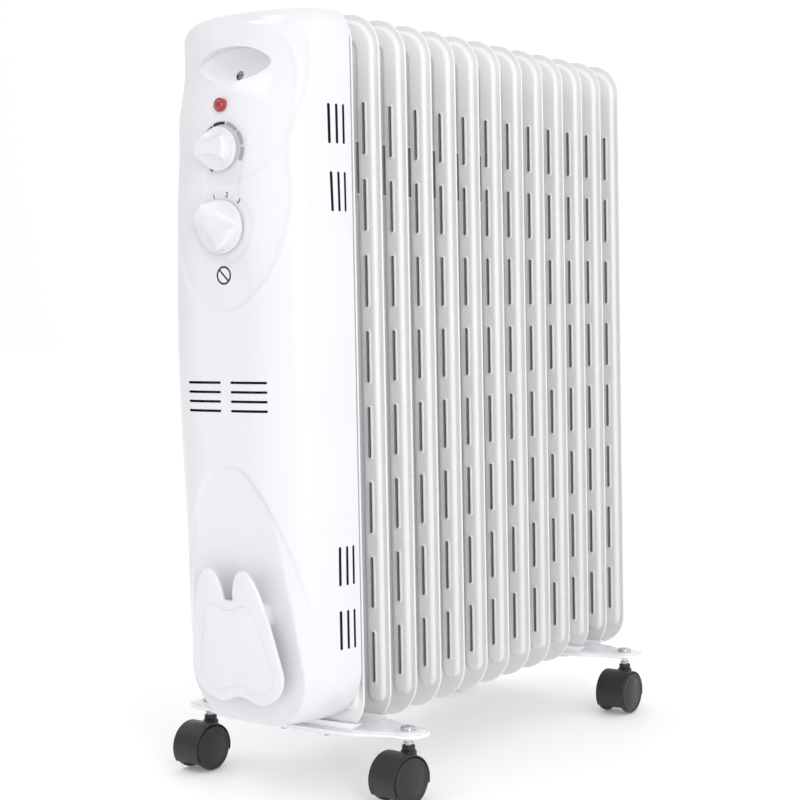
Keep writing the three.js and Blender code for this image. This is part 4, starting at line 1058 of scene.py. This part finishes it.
def stem_model():
    stem = bar("z", 3, (0, 0, (22 + 57.8) / 2), 57.8 - 22, 32)
    shoulder = bar("z", 5, (0, 0, 53.0), 1.4, 40)
    soften(shoulder, 0.4, 2, 60)
    groove = bar("z", 4.4, (0, 0, 46.2), 1.6, 32)
    return combine(stem, [shoulder, soften(groove, 0.4, 2, 60)], "UNION")


def nut_model():
    """Domed push nut with a rolled rim and a small hex drive."""
    low = box_mm("castor_front_right_nut")[0].z
    dome = bar("z", 6.3, (0, 0, low + 1.6), 3.2, 48)
    soften(dome, 1.9, 5, 60)
    rim = bar("z", 6.4, (0, 0, low + 0.5), 1.0, 48)
    soften(rim, 0.35, 2, 60)
    combine(dome, [rim], "UNION")
    drive = bar("z", 2.0, (0, 0, low + 3.2), 1.2, 6)
    combine(dome, [drive], "DIFFERENCE")
    return combine(dome, [bar("z", 3.3, (0, 0, low), 4.2, 24)], "DIFFERENCE")


SWIVELS = {"front_left": -3, "front_right": -9, "rear_left": 14, "rear_right": -1}
hood, stem, nut = hood_model(), stem_model(), nut_model()
wheels = {"left": wheel_model(-1), "right": wheel_model(1)}
for corner, degrees in SWIVELS.items():
    prefix = f"castor_{corner}"
    low, high = box_mm(f"{prefix}_nut")
    at = shift((low.x + high.x) / 2, (low.y + high.y) / 2)
    turned = at @ Matrix.Rotation(math.radians(degrees), 4, "Z")
    pieces = (
        (hood, turned, "moulded", "hood", prefix, "black_nylon", nylon),
        (stem, at, "turned", "stem", "heater", "bright_steel", nickel),
        (nut, at, "domed", "nut", "heater", "bright_steel", nickel),
    )
    for source, moved, made, part, body, slot, look in pieces:
        node = f"{prefix}_{part}"
        finish(twin(source, moved), f"{made}_{node}", body, look, [node], angle=40)
    for hand, wheel in wheels.items():
        node = f"{prefix}_wheel_{hand}"
        finish(twin(wheel, turned), f"moulded_{node}", node, nylon, [node], angle=40)
for source in (hood, stem, nut, *wheels.values()):
    bpy.data.objects.remove(source, do_unlink=True)


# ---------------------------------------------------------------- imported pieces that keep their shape
carried = {
    "rear_housing": enamel, "cover_screw": zinc, "cord_gland": nylon, "terminal_block": phenolic,
    "thermostat_body": phenolic, "selector_switch": phenolic, "oil_filler_plug": zinc,
    "heating_element": zinc, "u_bolt_front": zinc, "u_bolt_rear": zinc,
}
for end in ("front", "rear"):
    for hand in ("left", "right"):
        carried[f"wing_nut_{end}_{hand}"] = zinc
        carried[f"castor_{end}_{hand}_axle"] = zinc
for name, look in carried.items():
    nodes[name].material_slots[0].material = look


# ---------------------------------------------------------------- stage
# pale matt floor that is lit a little from below, so that it runs on into the room without a line
studio_pale = finish_material(
    "pale_matt_studio_floor", "#fbfbfb", "#fafafa", (0.6, 0.7), 60.0, (0.02, 0.2), patch=2.0,
    Emission_Strength=0.12,
)
bpy.ops.mesh.primitive_plane_add(size=30, location=(0, 0, -0.0005))
floor = settle()
floor.name = "studio_floor"
floor.data.materials.append(studio_pale)

world = bpy.data.worlds.new("studio")
bpy.context.scene.world = world
world.use_nodes = True
sky = world.node_tree
background = sky.nodes["Background"]
background.inputs["Color"].default_value = linear("#fdfdff")
# the room is brightest behind and to the right of the heater, and greyer in front of it
look = add_node(sky, "ShaderNodeTexCoord").outputs["Generated"]
facing = add_node(sky, "ShaderNodeVectorMath", [(look, 0)], operation="DOT_PRODUCT")
facing.inputs[1].default_value = (0.6, 0.8, 0.15)
bright = add_node(sky, "ShaderNodeMapRange", [(facing.outputs["Value"], "Value")])
bright.inputs["From Min"].default_value = -1.0
bright.inputs["From Max"].default_value = 0.2
bright.inputs["To Min"].default_value = 0.68
bright.inputs["To Max"].default_value = 1.04
sky.links.new(bright.outputs["Result"], background.inputs["Strength"])


def lamp(name, at, target, size, power, colour="#ffffff"):
    """Soft box of light that faces a point."""
    light = bpy.data.lights.new(name, "AREA")
    light.shape = "RECTANGLE"
    light.size, light.size_y = size
    light.energy = power
    light.color = linear(colour)[:3]
    holder = bpy.data.objects.new(name, light)
    bpy.context.collection.objects.link(holder)
    holder.location = at
    holder.rotation_euler = (Vector(target) - Vector(at)).to_track_quat("-Z", "Y").to_euler()
    return holder


lamp("softbox_right", (2.0, -1.6, 1.0), (0, 0, 0.35), (0.5, 1.8), 18)
lamp("softbox_top", (-0.6, -1.4, 2.2), (0, 0, 0.4), (1.6, 0.6), 6)

# ---------------------------------------------------------------- camera
AZIMUTH, LOOK_DOWN, ROLL = 0.6102, 0.0506, -0.0184
LENS, SENSOR = 78.71, 36.0
forward = Vector(
    (-math.sin(AZIMUTH) * math.cos(LOOK_DOWN), math.cos(AZIMUTH) * math.cos(LOOK_DOWN), -math.sin(LOOK_DOWN))
)
level = Vector((math.cos(AZIMUTH), math.sin(AZIMUTH), 0))
upright = level.cross(forward)
right = level * math.cos(ROLL) + upright * math.sin(ROLL)
up = upright * math.cos(ROLL) - level * math.sin(ROLL)
camera_data = bpy.data.cameras.new("camera")
camera_data.sensor_width = SENSOR
camera_data.lens = LENS
camera = bpy.data.objects.new("camera", camera_data)
bpy.context.collection.objects.link(camera)
stand = Matrix.Translation(mm(895.27, -1305.73, 390.21))
camera.matrix_world = stand @ Matrix((right, up, -forward)).transposed().to_4x4()
bpy.context.scene.camera = camera
bpy.context.scene.view_settings.view_transform = "Standard"
